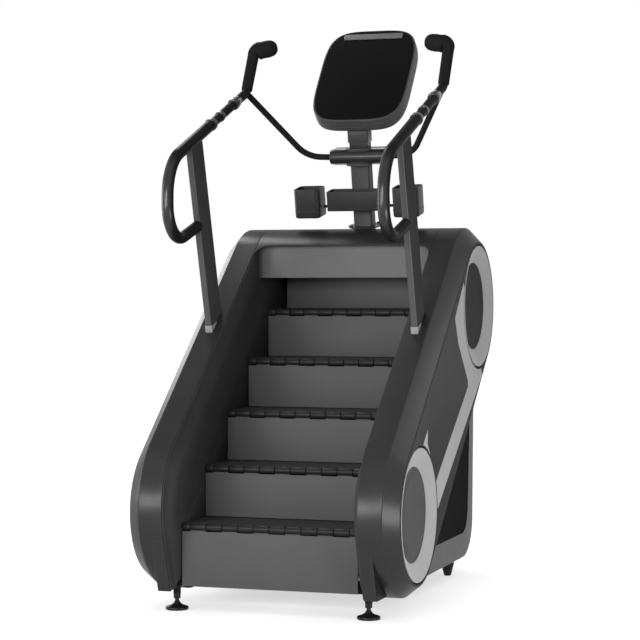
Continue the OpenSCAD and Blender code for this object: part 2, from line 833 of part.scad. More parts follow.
module tread_body(bracket) {
    difference() {
        union() {
            knuckle_row(0, knuckle_gap / 2);
            translate([-step_w / 2, 0, tread_drop]) cube([step_w, tread_len - barrel_r, tread_t]);
        }
        for (i = [1 : 2 : knuckles - 2])
            translate([-step_w / 2 + i * knuckle_w - knuckle_gap / 2, -barrel_d, -barrel_d])
                cube([knuckle_w + knuckle_gap, barrel_d + barrel_r + hinge_room, 2 * barrel_d]);
        for (i = [0 : 2 : knuckles - 1])
            translate([-step_w / 2 + i * knuckle_w - 1, -barrel_d, -barrel_d])
                cube([knuckle_w + 2, barrel_d, barrel_d - barrel_r]);
        pocket_w = step_w / 2 - bracket_x - bracket_t - 16;
        pocket_y = tread_len - barrel_r - barrel_d - 20;
        translate([-bracket_x + 8, barrel_d + 8, tread_drop - 1])
            cube([2 * bracket_x - 16, pocket_y, tread_t - 6]);
        both() translate([step_w / 2 - 8 - pocket_w, barrel_d + 8, tread_drop - 1])
            cube([pocket_w, pocket_y, tread_t - 6]);
        for (i = [0 : 11])
            translate([-step_w / 2 + 12, 36 + i * 15, barrel_r - 1.5]) cube([step_w - 24, 5, 3]);
    }
    translate([-step_w / 2 - shoe_gap - shoe_w, 0, 0]) rotate([0, 90, 0])
        cylinder(h = step_w + 2 * shoe_gap + 2 * shoe_w, d = pin_d);
    both() translate([step_w / 2 + shoe_gap, 0, 0]) rotate([0, 90, 0]) cylinder(h = shoe_w, r = shoe_r);
    if (bracket)
        both() translate([bracket_x, 0, 0]) rotate([90, 0, 90]) linear_extrude(height = bracket_t)
            polygon([[120, tread_drop + 1], [step_run - 24, tread_drop + 1], bracket_foot(60),
                bracket_foot(-10)]);
}

// lower corner of a tread bracket, just above the chain
function bracket_foot(s) = let (k = along(0, chain_n + chain_t / 2 + gap) - nose(1))
    k + [1, tan(slope)] * (120 + s - k[0]);

module tread(k) color(dark) place()
    translate([0, nose(k)[0], nose(k)[1]])
        if (k == last_step) rotate([top_tread_rest - slope, 0, 0]) tread_body(false);
        else tread_body(true);

module riser(k) color(riser_grey) place()
    translate([0, nose(k)[0], nose(k)[1]]) {
        h = riser_h + (k == 1 ? first_riser_drop : 0);
        difference() {
            union() {
                knuckle_row(1, knuckle_gap);
                for (i = [1 : 2 : knuckles - 2])
                    translate([-step_w / 2 + i * knuckle_w + knuckle_gap, -barrel_r, -barrel_r - hinge_room])
                        cube([knuckle_w - 2 * knuckle_gap, riser_t, barrel_r + hinge_room]);
                translate([-step_w / 2, -barrel_r, -h])
                    cube([step_w, riser_t, h - barrel_r - hinge_room / 2]);
            }
            translate([-step_w, 0, 0]) rotate([0, 90, 0]) cylinder(h = 2 * step_w, d = pin_d + 2 * gap);
        }
    }

module tread_1() tread(1);
module tread_2() tread(2);
module tread_3() tread(3);
module tread_4() tread(4);
module tread_5() tread(5);
module tread_6() tread(6);
module riser_1() riser(1);
module riser_2() riser(2);
module riser_3() riser(3);
module riser_4() riser(4);
module riser_5() riser(5);
module riser_6() riser(6);

module axle(c) {
    side(-frame_x - plate_t - 6, 2 * (frame_x + plate_t + 6)) translate(c) circle(d = shaft_d);
    both() difference() {
        side(chain_x, chain_w) translate(c) circle(r = sprocket_r - chain_t / 2 - gap);
        for (i = [0 : 5])
            side(chain_x - 1, chain_w + 2) translate(c + 42 * [cos(60 * i), sin(60 * i)]) circle(r = 11);
    }
}

module upper_shaft() color(steel) place() axle(axle_up);
module lower_shaft() color(steel) place() axle(axle_low);

module step_chains() color(steel) place() both()
    side(chain_x, chain_w) difference() {
        loop_2d(axle_low, sprocket_r + chain_t / 2, axle_up, sprocket_r + chain_t / 2);
        loop_2d(axle_low, sprocket_r - chain_t / 2, axle_up, sprocket_r - chain_t / 2);
    }

module drive_pulley() color(steel) place() difference() {
    side(belt_x, belt_w) translate(axle_up) circle(r = pulley_r);
    side(belt_x - 1, belt_w + 2) translate(axle_up) circle(d = shaft_d);
    for (i = [0 : 4])
        side(belt_x - 1, belt_w + 2) translate(axle_up + 62 * [cos(72 * i), sin(72 * i)]) circle(r = 22);
}

module drive_belt() color(black) place()
    side(belt_x + 1, belt_w - 2) difference() {
        loop_2d(brake_c, small_pulley_r + gap + belt_t, axle_up, pulley_r + gap + belt_t);
        loop_2d(brake_c, small_pulley_r + gap, axle_up, pulley_r + gap);
    }

module brake_rotor() color(steel) place() {
    side(brake_x - 2, belt_x + belt_w - brake_x + 2) translate(brake_c) circle(d = 20);
    side(belt_x, belt_w) translate(brake_c) circle(r = small_pulley_r);
    side(brake_x + 12, brake_w - 24) translate(brake_c) circle(r = brake_r - 14);
}

module brake_housing() color(mid) place()
    difference() {
        union() {
            side(brake_x, brake_w) translate(brake_c) circle(r = brake_r);
            side(brake_x, brake_w) polygon([brake_c + [-60, -40], [brake_c[0] - 60, rail_z1],
                [brake_c[0] + 60, rail_z1], brake_c + [60, -40]]);
        }
        side(brake_x + 6, brake_w - 12) translate(brake_c) circle(r = brake_r - 8);
        side(brake_x - 1, brake_w + 2) translate(brake_c) circle(d = 20 + 2 * gap);
        side(brake_x + 6, brake_w - 12) polygon([brake_c + [-50, -115], [brake_c[0] - 50, rail_z1 + 8],
            [brake_c[0] + 50, rail_z1 + 8], brake_c + [50, -115]]);
    }

module control_box() color(dark) place()
    translate([-220, up[0] - 440, rail_z1]) cube([240, 60, 150]);

module front_foot(flip) color(black) place() mirror([flip, 0, 0])
    translate([frame_x - 4, y_front + 154, 0]) {
        rotate_extrude() polygon([[0, 0], [foot_pad_d / 2 - 3, 0], [foot_pad_d / 2, 4],
            [foot_pad_d / 2 - 2, 11], [foot_stem_d / 2 + 14, 19], [foot_stem_d / 2, 34], [0, 34]]);
        cylinder(h = base_z + 8, d = foot_stem_d);
    }

module front_foot_left() front_foot(1);
module front_foot_right() front_foot(0);

module rear_feet() color(black) place() both()
    translate([frame_x - 10, up[0] + 84, 0])
        rotate_extrude() polygon([[0, 0], [rear_foot_d / 4, 0], [rear_foot_d / 4 + 2, 4],
            [rear_foot_d / 2, 50],
            [rear_foot_d / 2, rail_z0], [0, rail_z0]]);

module bolts() color(steel) place() {
    mast_frame() translate([0, mast_d / 2, flange_t + 1])
        for (i = [-1, 1], j = [-1, 1])
            translate([i * bolt_out, j * bolt_out, 0]) cylinder(h = bolt_h, d = bolt_d, $fn = 6);
    both() for (c = [axle_low, axle_up], i = [0 : 3])
        side(frame_x + plate_t, bolt_h) translate(c + bolt_ring_r * [cos(45 + 90 * i), sin(45 + 90 * i)])
            circle(d = bolt_d, $fn = 6);
}

base_frame();
side_frame_left();
side_frame_right();
bearings();
guide_rails();
inner_skirt_left();
inner_skirt_right();
side_cover_left();
side_cover_right();
side_inlays();
disc_rings();
disc_caps();
hood();
apron();
base_cover();
rear_panels();
post_left();
post_right();
post_collars();
handlebar_left();
handlebar_right();
pulse_grips();
horn_left();
horn_right();
cross_tube_left();
cross_tube_right();
mast();
mast_clamp();
neck_sleeve();
console_case();
console_glass();
console_bar();
tray();
cup_left();
cup_right();
holder_rods();
tread_1();
tread_2();
tread_3();
tread_4();
tread_5();
tread_6();
riser_1();
riser_2();
riser_3();
riser_4();
riser_5();
riser_6();
upper_shaft();
lower_shaft();
step_chains();
drive_pulley();
drive_belt();
brake_rotor();
brake_housing();
control_box();
front_foot_left();
front_foot_right();
rear_feet();
bolts();
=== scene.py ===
import math
import bmesh
import bpy
from mathutils import Matrix, Vector


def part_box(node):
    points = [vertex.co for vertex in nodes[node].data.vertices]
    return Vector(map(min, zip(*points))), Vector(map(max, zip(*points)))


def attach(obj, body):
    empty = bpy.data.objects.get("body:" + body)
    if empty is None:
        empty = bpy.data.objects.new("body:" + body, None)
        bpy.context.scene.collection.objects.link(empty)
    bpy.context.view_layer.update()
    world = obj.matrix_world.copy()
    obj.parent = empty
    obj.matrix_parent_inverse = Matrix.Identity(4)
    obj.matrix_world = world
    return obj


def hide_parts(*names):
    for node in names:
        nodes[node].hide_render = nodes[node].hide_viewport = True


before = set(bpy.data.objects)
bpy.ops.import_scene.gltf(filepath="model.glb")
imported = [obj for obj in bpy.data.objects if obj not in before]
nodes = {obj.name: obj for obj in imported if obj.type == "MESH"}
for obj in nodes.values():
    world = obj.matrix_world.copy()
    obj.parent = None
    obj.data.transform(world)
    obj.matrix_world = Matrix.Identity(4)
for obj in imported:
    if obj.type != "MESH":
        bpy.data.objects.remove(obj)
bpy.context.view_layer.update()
print("frame loaded:", len(nodes), "nodes")

# sizes that several pieces share, in metres, and places read from the frame
layout = {"run": 0.245, "rise": 0.200, "barrel": 0.0135, "stepHalf": 0.347, "innerX": 0.377,
          "capRadius": 0.180, "rimRadius": 0.3235, "rimSkin": 0.0016, "postX": 0.428, "barRadius": 0.0232,
          "frontTurn": 19.4}
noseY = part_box("tread_1")[0].y                # front of the lowest nose
coverLow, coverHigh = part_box("side_cover_right")
capLow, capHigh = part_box("disc_caps")
rimLow = Vector((coverLow.y + layout["rimRadius"], coverLow.z + layout["rimRadius"]))
rimUp = Vector((coverHigh.y - layout["rimRadius"], coverHigh.z - layout["rimRadius"]))
drumLow = Vector((capLow.y + layout["capRadius"], capLow.z + layout["capRadius"]))
drumUp = Vector((capHigh.y - layout["capRadius"], capHigh.z - layout["capRadius"]))
rimLean = math.atan2(rimUp.y - rimLow.y, rimUp.x - rimLow.x)
skinRadius = layout["rimRadius"] + layout["rimSkin"]
sides = (("left", -1), ("right", 1))
closeBy = 1e-6                                # points nearer than this are one


def at(x, y, z):                              # y counted from the lowest nose
    return Vector((x, y + noseY, z))


def onSide(point, x):
    return Vector((x, point.y, point.z))


def leaning(spot, degrees):                   # a local frame that leans towards the user
    return Matrix.Translation(spot) @ Matrix.Rotation(math.radians(degrees), 4, "X")


# outlines and paths

def arcPoints(centre, radius, fromTurn, toTurn, steps):
    return [(centre.x + radius * math.cos(a), centre.y + radius * math.sin(a))
            for a in (fromTurn + (toTurn - fromTurn) * k / steps for k in range(steps + 1))]


def roundOff(start, corner, end, steps):      # points of a soft corner, ends included
    return [tuple((1 - t) ** 2 * a + 2 * t * (1 - t) * b + t * t * c for a, b, c in zip(start, corner, end))
            for t in (k / steps for k in range(steps + 1))]


def softAt(first, second, offsets, steps):    # the same, counted from one point
    return roundOff(*[(first + a, second + b) for a, b in offsets], steps)


def turnedPath(corners, radii, bend):         # straight runs joined by arcs
    path = [corners[0]]
    for i in range(1, len(corners) - 1):
        back = (corners[i - 1] - corners[i]).normalized()
        ahead = (corners[i + 1] - corners[i]).normalized()
        turn = math.pi - back.angle(ahead)
        reach = radii[i] * math.tan(turn / 2)
        start = corners[i] + back * reach
        axis = (-back).cross(ahead).normalized()
        centre = start + axis.cross(-back) * radii[i]
        for k in range(bend + 1):
            path.append(centre + Matrix.Rotation(turn * k / bend, 3, axis) @ (start - centre))
    return path + [corners[-1]]


# mesh helpers

def allOf(bm):
    return bm.verts[:] + bm.edges[:] + bm.faces[:]


def vertsOf(result):                          # the vertices that an operator made
    return [g for g in result["geom"] if isinstance(g, bmesh.types.BMVert)]


def edgesOf(ring):
    return list({e for v in ring for e in v.link_edges})


def edgesAbove(level):
    return lambda edge: all(v.co.z > level for v in edge.verts)


def edgesBelow(level):
    return lambda edge: all(v.co.z < level for v in edge.verts)


def heightOf(face):
    return face.calc_center_median().z


def bevelSharp(bm, width, segments, least=60, only=None):    # edges that turn more than some degrees
    edges = [e for e in bm.edges if len(e.link_faces) == 2
             and e.calc_face_angle(0) > math.radians(least) and (only is None or only(e))]
    bmesh.ops.bevel(bm, geom=edges, offset=width, offset_type="OFFSET", segments=segments,
                    profile=0.5, affect="EDGES", clamp_overlap=True, material=-1)


def drawOut(bm, faces, way):                  # faces drawn out into a solid
    raised = bmesh.ops.extrude_face_region(bm, geom=faces)
    bmesh.ops.translate(bm, vec=way, verts=vertsOf(raised))


def cutAway(bm, geom, point, way):            # what lies beyond a plane goes, and the cut is closed
    split = bmesh.ops.bisect_plane(bm, geom=geom, plane_co=point, plane_no=way, clear_outer=True)
    bmesh.ops.holes_fill(bm, edges=[g for g in split["geom_cut"] if isinstance(g, bmesh.types.BMEdge)])


def fillFlat(bm, edges, normal):              # a flat face with holes
    bmesh.ops.triangle_fill(bm, use_beauty=True, use_dissolve=False, edges=edges, normal=normal)


def closedLoop(bm, ring):
    return [bm.edges.new(pair) for pair in zip(ring, ring[1:] + ring[:1])]


def bridged(bm, loops):
    for first, second in zip(loops, loops[1:]):
        bmesh.ops.bridge_loops(bm, edges=first + second)


def faceOut(bm, key, way):                    # the face with the highest key has to look this way
    bmesh.ops.recalc_face_normals(bm, faces=bm.faces)
    if max(bm.faces, key=key).normal.dot(Vector(way)) < 0:
        bmesh.ops.reverse_faces(bm, faces=bm.faces)


def unitGrid(columns, rows):                  # from -0.5 to 0.5 both ways
    bm = bmesh.new()
    bmesh.ops.create_grid(bm, x_segments=columns, y_segments=rows, size=0.5)
    return bm


def gridPlace(value, points):                 # which of the points a place on the unit grid stands for
    return round((value + 0.5) * (len(points) - 1))


def roundedPlate(width, height, radius, thick, segments):    # a slab on XY, from z 0 to thick
    bm = unitGrid(1, 1)
    bmesh.ops.scale(bm, vec=(width, height, 1), verts=bm.verts)
    bmesh.ops.bevel(bm, geom=bm.verts[:], offset=radius, offset_type="OFFSET", segments=segments,
                    profile=0.5, affect="VERTICES", clamp_overlap=True, material=-1)
    drawOut(bm, bm.faces[:], (0, 0, thick))
    return bm


def prism(outline, x0, x1):                   # a side view outline drawn out along X
    bm = bmesh.new()
    face = bm.faces.new([bm.verts.new((x0, y, z)) for y, z in outline])
    drawOut(bm, [face], (x1 - x0, 0, 0))
    bmesh.ops.recalc_face_normals(bm, faces=bm.faces)
    return bm


def lathe(profile, steps):                    # (along X, radius) points turned about X
    bm = bmesh.new()
    verts = [bm.verts.new((x, 0, r)) for x, r in profile]
    edges = [bm.edges.new(pair) for pair in zip(verts, verts[1:])]
    bmesh.ops.spin(bm, geom=verts + edges, cent=(0, 0, 0), axis=(1, 0, 0), dvec=(0, 0, 0),
                   angle=2 * math.pi, steps=steps, use_merge=True, use_duplicate=False)
    bmesh.ops.remove_doubles(bm, verts=bm.verts, dist=closeBy)
    bmesh.ops.recalc_face_normals(bm, faces=bm.faces)
    return bm


def tube(path, radius, around, widths=None):  # a round tube with closed ends
    curve = bpy.data.curves.new("tubePath", "CURVE")
    curve.dimensions = "3D"
    spline = curve.splines.new("POLY")
    spline.points.add(len(path) - 1)
    for i, point in enumerate(path):
        spline.points[i].co = (*point, 1)
        spline.points[i].radius = widths[i] if widths else 1
    curve.bevel_depth = radius
    curve.bevel_resolution = around
    curve.use_fill_caps = True
    carrier = bpy.data.objects.new("tubePath", curve)
    mesh = bpy.data.meshes.new_from_object(carrier)
    bm = bmesh.new()
    bm.from_mesh(mesh)
    bmesh.ops.remove_doubles(bm, verts=bm.verts, dist=closeBy)
    bmesh.ops.recalc_face_normals(bm, faces=bm.faces)
    bpy.data.objects.remove(carrier)
    bpy.data.curves.remove(curve)
    bpy.data.meshes.remove(mesh)
    return bm


def moved(bm, matrix):
    bmesh.ops.transform(bm, matrix=matrix, verts=bm.verts)
    return bm


def joined(parts):                            # several closed shapes as one mesh
    bm = bmesh.new()
    for part in parts:
        mesh = bpy.data.meshes.new("part")
        part.to_mesh(mesh)
        part.free()
        bm.from_mesh(mesh)
        bpy.data.meshes.remove(mesh)
    return bm


def mirrored(bm):                             # a copy on the other side of the machine
    copy = bm.copy()
    bmesh.ops.scale(copy, vec=(-1, 1, 1), verts=copy.verts)
    bmesh.ops.reverse_faces(copy, faces=copy.faces)
    return copy


def sided(bm, sign):                          # drawn on the right, mirrored for the left
    return mirrored(bm) if sign < 0 else bm


def bothSides(bm):
    return joined([mirrored(bm), bm])


def finishPiece(name, bm, finish, body, stands=(), sharp=38):
    for face in bm.faces:
        face.smooth = True
    for edge in bm.edges:
        edge.smooth = len(edge.link_faces) != 2 or edge.calc_face_angle(0) < math.radians(sharp)
    mesh = bpy.data.meshes.new(name)
    bm.to_mesh(mesh)
    bm.free()
    mesh.materials.append(finishes[finish])
    piece = bpy.data.objects.new(name, mesh)
    bpy.context.scene.collection.objects.link(piece)
    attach(piece, body)
    if stands:
        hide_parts(*stands)
    return piece


def addWall(piece, thick):                    # the surface becomes a shell, thickened inwards
    wall = piece.modifiers.new("wall", "SOLIDIFY")
    wall.thickness = thick
    wall.offset = -1


def addSoft(piece, width, segments, least):
    soft = piece.modifiers.new("soft", "BEVEL")
    soft.width = width
    soft.segments = segments
    soft.limit_method = "ANGLE"
    soft.angle_limit = math.radians(least)
    return soft


# shader groups that the finishes share

def feed(tree, socket, value):                # a socket is linked, a plain value is set
    if isinstance(value, bpy.types.NodeSocket):
        tree.links.new(value, socket)
    else:
        socket.default_value = value


def newGroup(name, inputs, outputs):          # labels and kinds of the sockets
    group = bpy.data.node_groups.new(name, "ShaderNodeTree")
    for way, sockets in (("INPUT", inputs), ("OUTPUT", outputs)):
        for label, kind in sockets.items():
            group.interface.new_socket(label, in_out=way, socket_type="NodeSocket" + kind)
    return group, group.nodes.new("NodeGroupInput").outputs, group.nodes.new("NodeGroupOutput").inputs


def placeGroup(tree, group, values):
    node = tree.nodes.new("ShaderNodeGroup")
    node.node_tree = group
    for label, value in values.items():
        feed(tree, node.inputs[label], value)
    return node.outputs


def objectPlace(tree):
    return tree.nodes.new("ShaderNodeTexCoord").outputs["Object"]


def surfaceNormal(tree):
    return tree.nodes.new("ShaderNodeNewGeometry").outputs["Normal"]


def splitNode(tree, vector):
    node = tree.nodes.new("ShaderNodeSeparateXYZ")
    tree.links.new(vector, node.inputs[0])
    return node.outputs


def noiseNode(tree, vector, scale, detail):
    node = tree.nodes.new("ShaderNodeTexNoise")
    for label, value in (("Vector", vector), ("Scale", scale), ("Detail", detail)):
        feed(tree, node.inputs[label], value)
    return node.outputs["Fac"]


def rangeNode(tree, value, low, high, toLow, toHigh):
    node = tree.nodes.new("ShaderNodeMapRange")
    labels = ("Value", "From Min", "From Max", "To Min", "To Max")
    for label, number in zip(labels, (value, low, high, toLow, toHigh)):
        feed(tree, node.inputs[label], number)
    return node.outputs["Result"]


def mathNode(tree, operation, *values):
    node = tree.nodes.new("ShaderNodeMath")
    node.operation = operation
    for i, value in enumerate(values):
        feed(tree, node.inputs[i], value)
    return node.outputs[0]


def product(tree, first, *others):
    for other in others:
        first = mathNode(tree, "MULTIPLY", first, other)
    return first


def vectorNode(tree, operation, first, second):
    node = tree.nodes.new("ShaderNodeVectorMath")
    node.operation = operation
    feed(tree, node.inputs[0], first)
    feed(tree, node.inputs["Scale" if operation == "SCALE" else 1], second)
    return node.outputs["Value" if operation == "DOT_PRODUCT" else "Vector"]


def mixNode(tree, factor, a, b):
    node = tree.nodes.new("ShaderNodeMix")
    node.data_type = "RGBA"
    for i, value in ((0, factor), (6, a), (7, b)):    # the colour sockets of this node
        feed(tree, node.inputs[i], value)
    return node.outputs[2]


noiseSpan = (0.3, 0.7)                        # where most of a noise lies, with its middle
noiseMiddle = 0.5


def mottled(tree, colour, noise, depth):      # paler and darker with a noise
    less = mathNode(tree, "SUBTRACT", 1.0, depth)
    more = mathNode(tree, "ADD", 1.0, depth)
    return vectorNode(tree, "SCALE", colour, rangeNode(tree, noise, *noiseSpan, less, more))


def swayed(tree, value, noise, spread):       # up and down with a noise
    sway = mathNode(tree, "MULTIPLY", mathNode(tree, "SUBTRACT", noise, noiseMiddle), spread)
    return mathNode(tree, "ADD", value, sway)


mould = {"cloudScale": 9, "cloudDetail": 5, "patchScale": 42, "patchDetail": 6, "grainDetail": 2}


def makeMould():                              # moulded skin: mottled colour, uneven gloss, fine grain
    group, start, end = newGroup(
        "mouldedSkin",
        {"Colour": "Color", "Mottle": "Float", "Roughness": "Float", "Spread": "Float", "Grain": "Float"},
        {"Colour": "Color", "Roughness": "Float", "Height": "Float"})
    place = objectPlace(group)
    cloud = noiseNode(group, place, mould["cloudScale"], mould["cloudDetail"])
    patch = noiseNode(group, place, mould["patchScale"], mould["patchDetail"])
    grain = noiseNode(group, place, start["Grain"], mould["grainDetail"])
    group.links.new(mottled(group, start["Colour"], cloud, start["Mottle"]), end["Colour"])
    group.links.new(swayed(group, start["Roughness"], patch, start["Spread"]), end["Roughness"])
    group.links.new(grain, end["Height"])
    return group


edgeWearAndHighlight = {"samples": 4, "turn": (0.995, 0.9), "scale": 70, "detail": 5, "span": (0.35, 0.65), "least": 0.25}


def makeEdgeWearAndHighlight():                               # paler along edges: partly real rubbed wear, partly a painted edge highlight, strongest on the posts
    group, start, end = newGroup(
        "rubbedAndHighlitEdges", {"Colour": "Color", "RubbedAndLit": "Color", "Amount": "Float", "Radius": "Float"},
        {"Colour": "Color"})
    edge = group.nodes.new("ShaderNodeBevel")
    edge.samples = edgeWearAndHighlight["samples"]
    group.links.new(start["Radius"], edge.inputs["Radius"])
    turn = vectorNode(group, "DOT_PRODUCT", edge.outputs["Normal"], surfaceNormal(group))
    near = rangeNode(group, turn, *edgeWearAndHighlight["turn"], 0.0, 1.0)
    noise = noiseNode(group, objectPlace(group), edgeWearAndHighlight["scale"], edgeWearAndHighlight["detail"])
    broken = rangeNode(group, noise, *edgeWearAndHighlight["span"], edgeWearAndHighlight["least"], 1.0)
    mask = product(group, near, broken, start["Amount"])
    group.links.new(mixNode(group, mask, start["Colour"], start["RubbedAndLit"]), end["Colour"])
    return group


brush = {"detail": 4, "sway": 0.25}


def makeBrush():                              # drawn lines along one axis
    group, start, end = newGroup(
        "drawnLines", {"Colour": "Color", "Stretch": "Vector", "Depth": "Float", "Roughness": "Float"},
        {"Colour": "Color", "Roughness": "Float", "Height": "Float"})
    stretched = vectorNode(group, "MULTIPLY", objectPlace(group), start["Stretch"])
    lines = noiseNode(group, stretched, 1.0, brush["detail"])
    group.links.new(mottled(group, start["Colour"], lines, start["Depth"]), end["Colour"])
    group.links.new(swayed(group, start["Roughness"], lines, brush["sway"]), end["Roughness"])
    group.links.new(lines, end["Height"])
    return group


def makeSideShade():                               # painted shade: a darker grey towards both sides of the machine, where a panel's ends curve into the inner walls
    group, start, end = newGroup(
        "paintedSideShade", {"Colour": "Color", "Side": "Color", "From": "Float", "To": "Float"},
        {"Colour": "Color"})
    out = mathNode(group, "ABSOLUTE", splitNode(group, objectPlace(group))["X"])
    mask = rangeNode(group, out, start["From"], start["To"], 0.0, 1.0)
    group.links.new(mixNode(group, mask, start["Colour"], start["Side"]), end["Colour"])
    return group


coatMask = {"side": (0.76, 0.95), "top": (0.52, 0.80), "back": (-0.80, -0.45)}


def makeFront():                              # full on what faces the user, less to the side, up or back
    group, start, end = newGroup(
        "frontMask", {"Weight": "Float", "Side": "Float", "Top": "Float", "Back": "Float"},
        {"Mask": "Float"})
    normal = splitNode(group, surfaceNormal(group))
    out = mathNode(group, "ABSOLUTE", normal["X"])
    sideShare = rangeNode(group, out, *coatMask["side"], 1.0, start["Side"])
    topShare = rangeNode(group, normal["Z"], *coatMask["top"], 1.0, start["Top"])
    backShare = rangeNode(group, normal["Y"], *coatMask["back"], 1.0, start["Back"])
    group.links.new(product(group, sideShare, topShare, backShare, start["Weight"]), end["Mask"])
    return group


mouldGroup = makeMould()
frontGroup = makeFront()
sideShadeGroup = makeSideShade()
edgeWearAndHighlightGroup = makeEdgeWearAndHighlight()
brushGroup = makeBrush()


# finishes: each look says what differs from the plain one

plainLook = {"mottle": 0.08, "spread": 0.12, "grain": 900.0, "bump": 0.1, "bumpDepth": 0.0004,
             "edgeWearAndHighlight": 0.3, "edge": 0.003, "paleEdgeGain": 2.2, "paleEdgeLift": 0.03, "metal": 0.0, "shine": 0.5,
             "sideCoat": 0.0, "topCoat": 0.5, "backCoat": 1.0, "coatBend": 1.4}
looks = {
    "coverGrey": {"grey": 0.029, "rough": 0.27, "bump": 0.02, "shine": 0.0, "frontCoat": 0.6,
                  "sideCoat": 0.35},
    "baseGrey": {"grey": 0.075, "rough": 0.40, "bump": 0.03, "shine": 0.1, "edgeWearAndHighlight": 0.4},
    "skirtDark": {"grey": 0.060, "rough": 0.50, "bump": 0.04, "shine": 0.03, "edgeWearAndHighlight": 0.0},
    "panelDark": {"grey": 0.034, "rough": 0.50, "bump": 0.06, "shine": 0.0},
    "paleTrim": {"grey": 0.52, "rough": 0.45, "mottle": 0.03, "edgeWearAndHighlight": 0.1, "bump": 0.03, "shine": 0.1},
    "footPale": {"grey": 0.30, "rough": 0.40, "mottle": 0.03, "edgeWearAndHighlight": 0.1, "bump": 0.02, "shine": 0.15},
    # one cap grey given twice: the upper caps' copy is a little darker and without shine, painted shade
    "capLower": {"grey": 0.092, "rough": 0.45, "bump": 0.05, "shine": 0.02},
    "capUpper": {"grey": 0.090, "rough": 0.45, "bump": 0.05, "shine": 0.0},
    "riserGrey": {"grey": 0.092, "rough": 0.45, "mottle": 0.03, "bump": 0.03, "shine": 0.10, "edgeWearAndHighlight": 0.35},
    # the apron's ends are darkened to grey 0.022 from |x| 0.362 to 0.377, painted shade where they curve
    # into the inner walls
    "apronGrey": {"grey": 0.132, "rough": 0.45, "bump": 0.03, "mottle": 0.03, "shine": 0.2,
                  "sides": (0.362, 0.377, 0.022)},
    "treadDark": {"grey": 0.021, "rough": 0.36, "grain": 420.0, "bump": 0.04, "edgeWearAndHighlight": 0.25, "shine": 0.12},
    # the posts' strong, wide pale edge paints a highlight line along their corners
    "postGrey": {"grey": 0.074, "rough": 0.30, "grain": 1600.0, "bump": 0.04, "edgeWearAndHighlight": 0.9, "edge": 0.004,
                 "shine": 0.0, "frontCoat": 0.8},
    "mastGrey": {"grey": 0.048, "rough": 0.34, "lines": (260.0, 260.0, 3.0), "mottle": 0.04, "bump": 0.02,
                 "shine": 0.12},
    "gripBlack": {"grey": 0.019, "rough": 0.25, "bump": 0.004, "spread": 0.04, "edgeWearAndHighlight": 0.05,
                  "shine": 0.006, "frontCoat": 1.0, "topCoat": 0.0, "backCoat": 0.0},
    "hornBlack": {"grey": 0.018, "rough": 0.45, "bump": 0.01, "edgeWearAndHighlight": 0.05, "shine": 0.006},
    "clampGloss": {"grey": 0.022, "rough": 0.26, "bump": 0.004, "spread": 0.04, "edgeWearAndHighlight": 0.1, "shine": 0.3},
    "collarSteel": {"grey": 0.034, "rough": 0.20, "metal": 0.9, "bump": 0.004, "spread": 0.04, "edgeWearAndHighlight": 0.1},
    "frameBlack": {"grey": 0.009, "rough": 0.42, "grain": 1400.0, "bump": 0.08, "edgeWearAndHighlight": 0.2, "shine": 0.08},
    "steel": {"grey": 0.36, "rough": 0.34, "lines": (2.0, 400.0, 400.0), "mottle": 0.1, "metal": 1.0},
    "iron": {"grey": 0.08, "rough": 0.45, "metal": 0.8, "bump": 0.2},
    "alloy": {"grey": 0.20, "rough": 0.45, "metal": 0.8, "bump": 0.2},
    "rubber": {"grey": 0.009, "rough": 0.36, "bump": 0.06, "shine": 0.2},
    "screenBlack": {"grey": 0.0030, "rough": 0.12, "mottle": 0.02, "spread": 0.02, "bump": 0.0, "edgeWearAndHighlight": 0.0,
                    "shine": 0.05},
    "caseGrey": {"grey": 0.060, "rough": 0.42, "bump": 0.05, "shine": 0.2},
    "barGrey": {"grey": 0.140, "rough": 0.36, "lines": (3.0, 260.0, 260.0), "mottle": 0.1, "shine": 0.3},
    "holderBlack": {"grey": 0.026, "rough": 0.36, "bump": 0.05, "shine": 0.12},
}


def grey(value):                              # a linear grey
    return (value, value, value, 1)


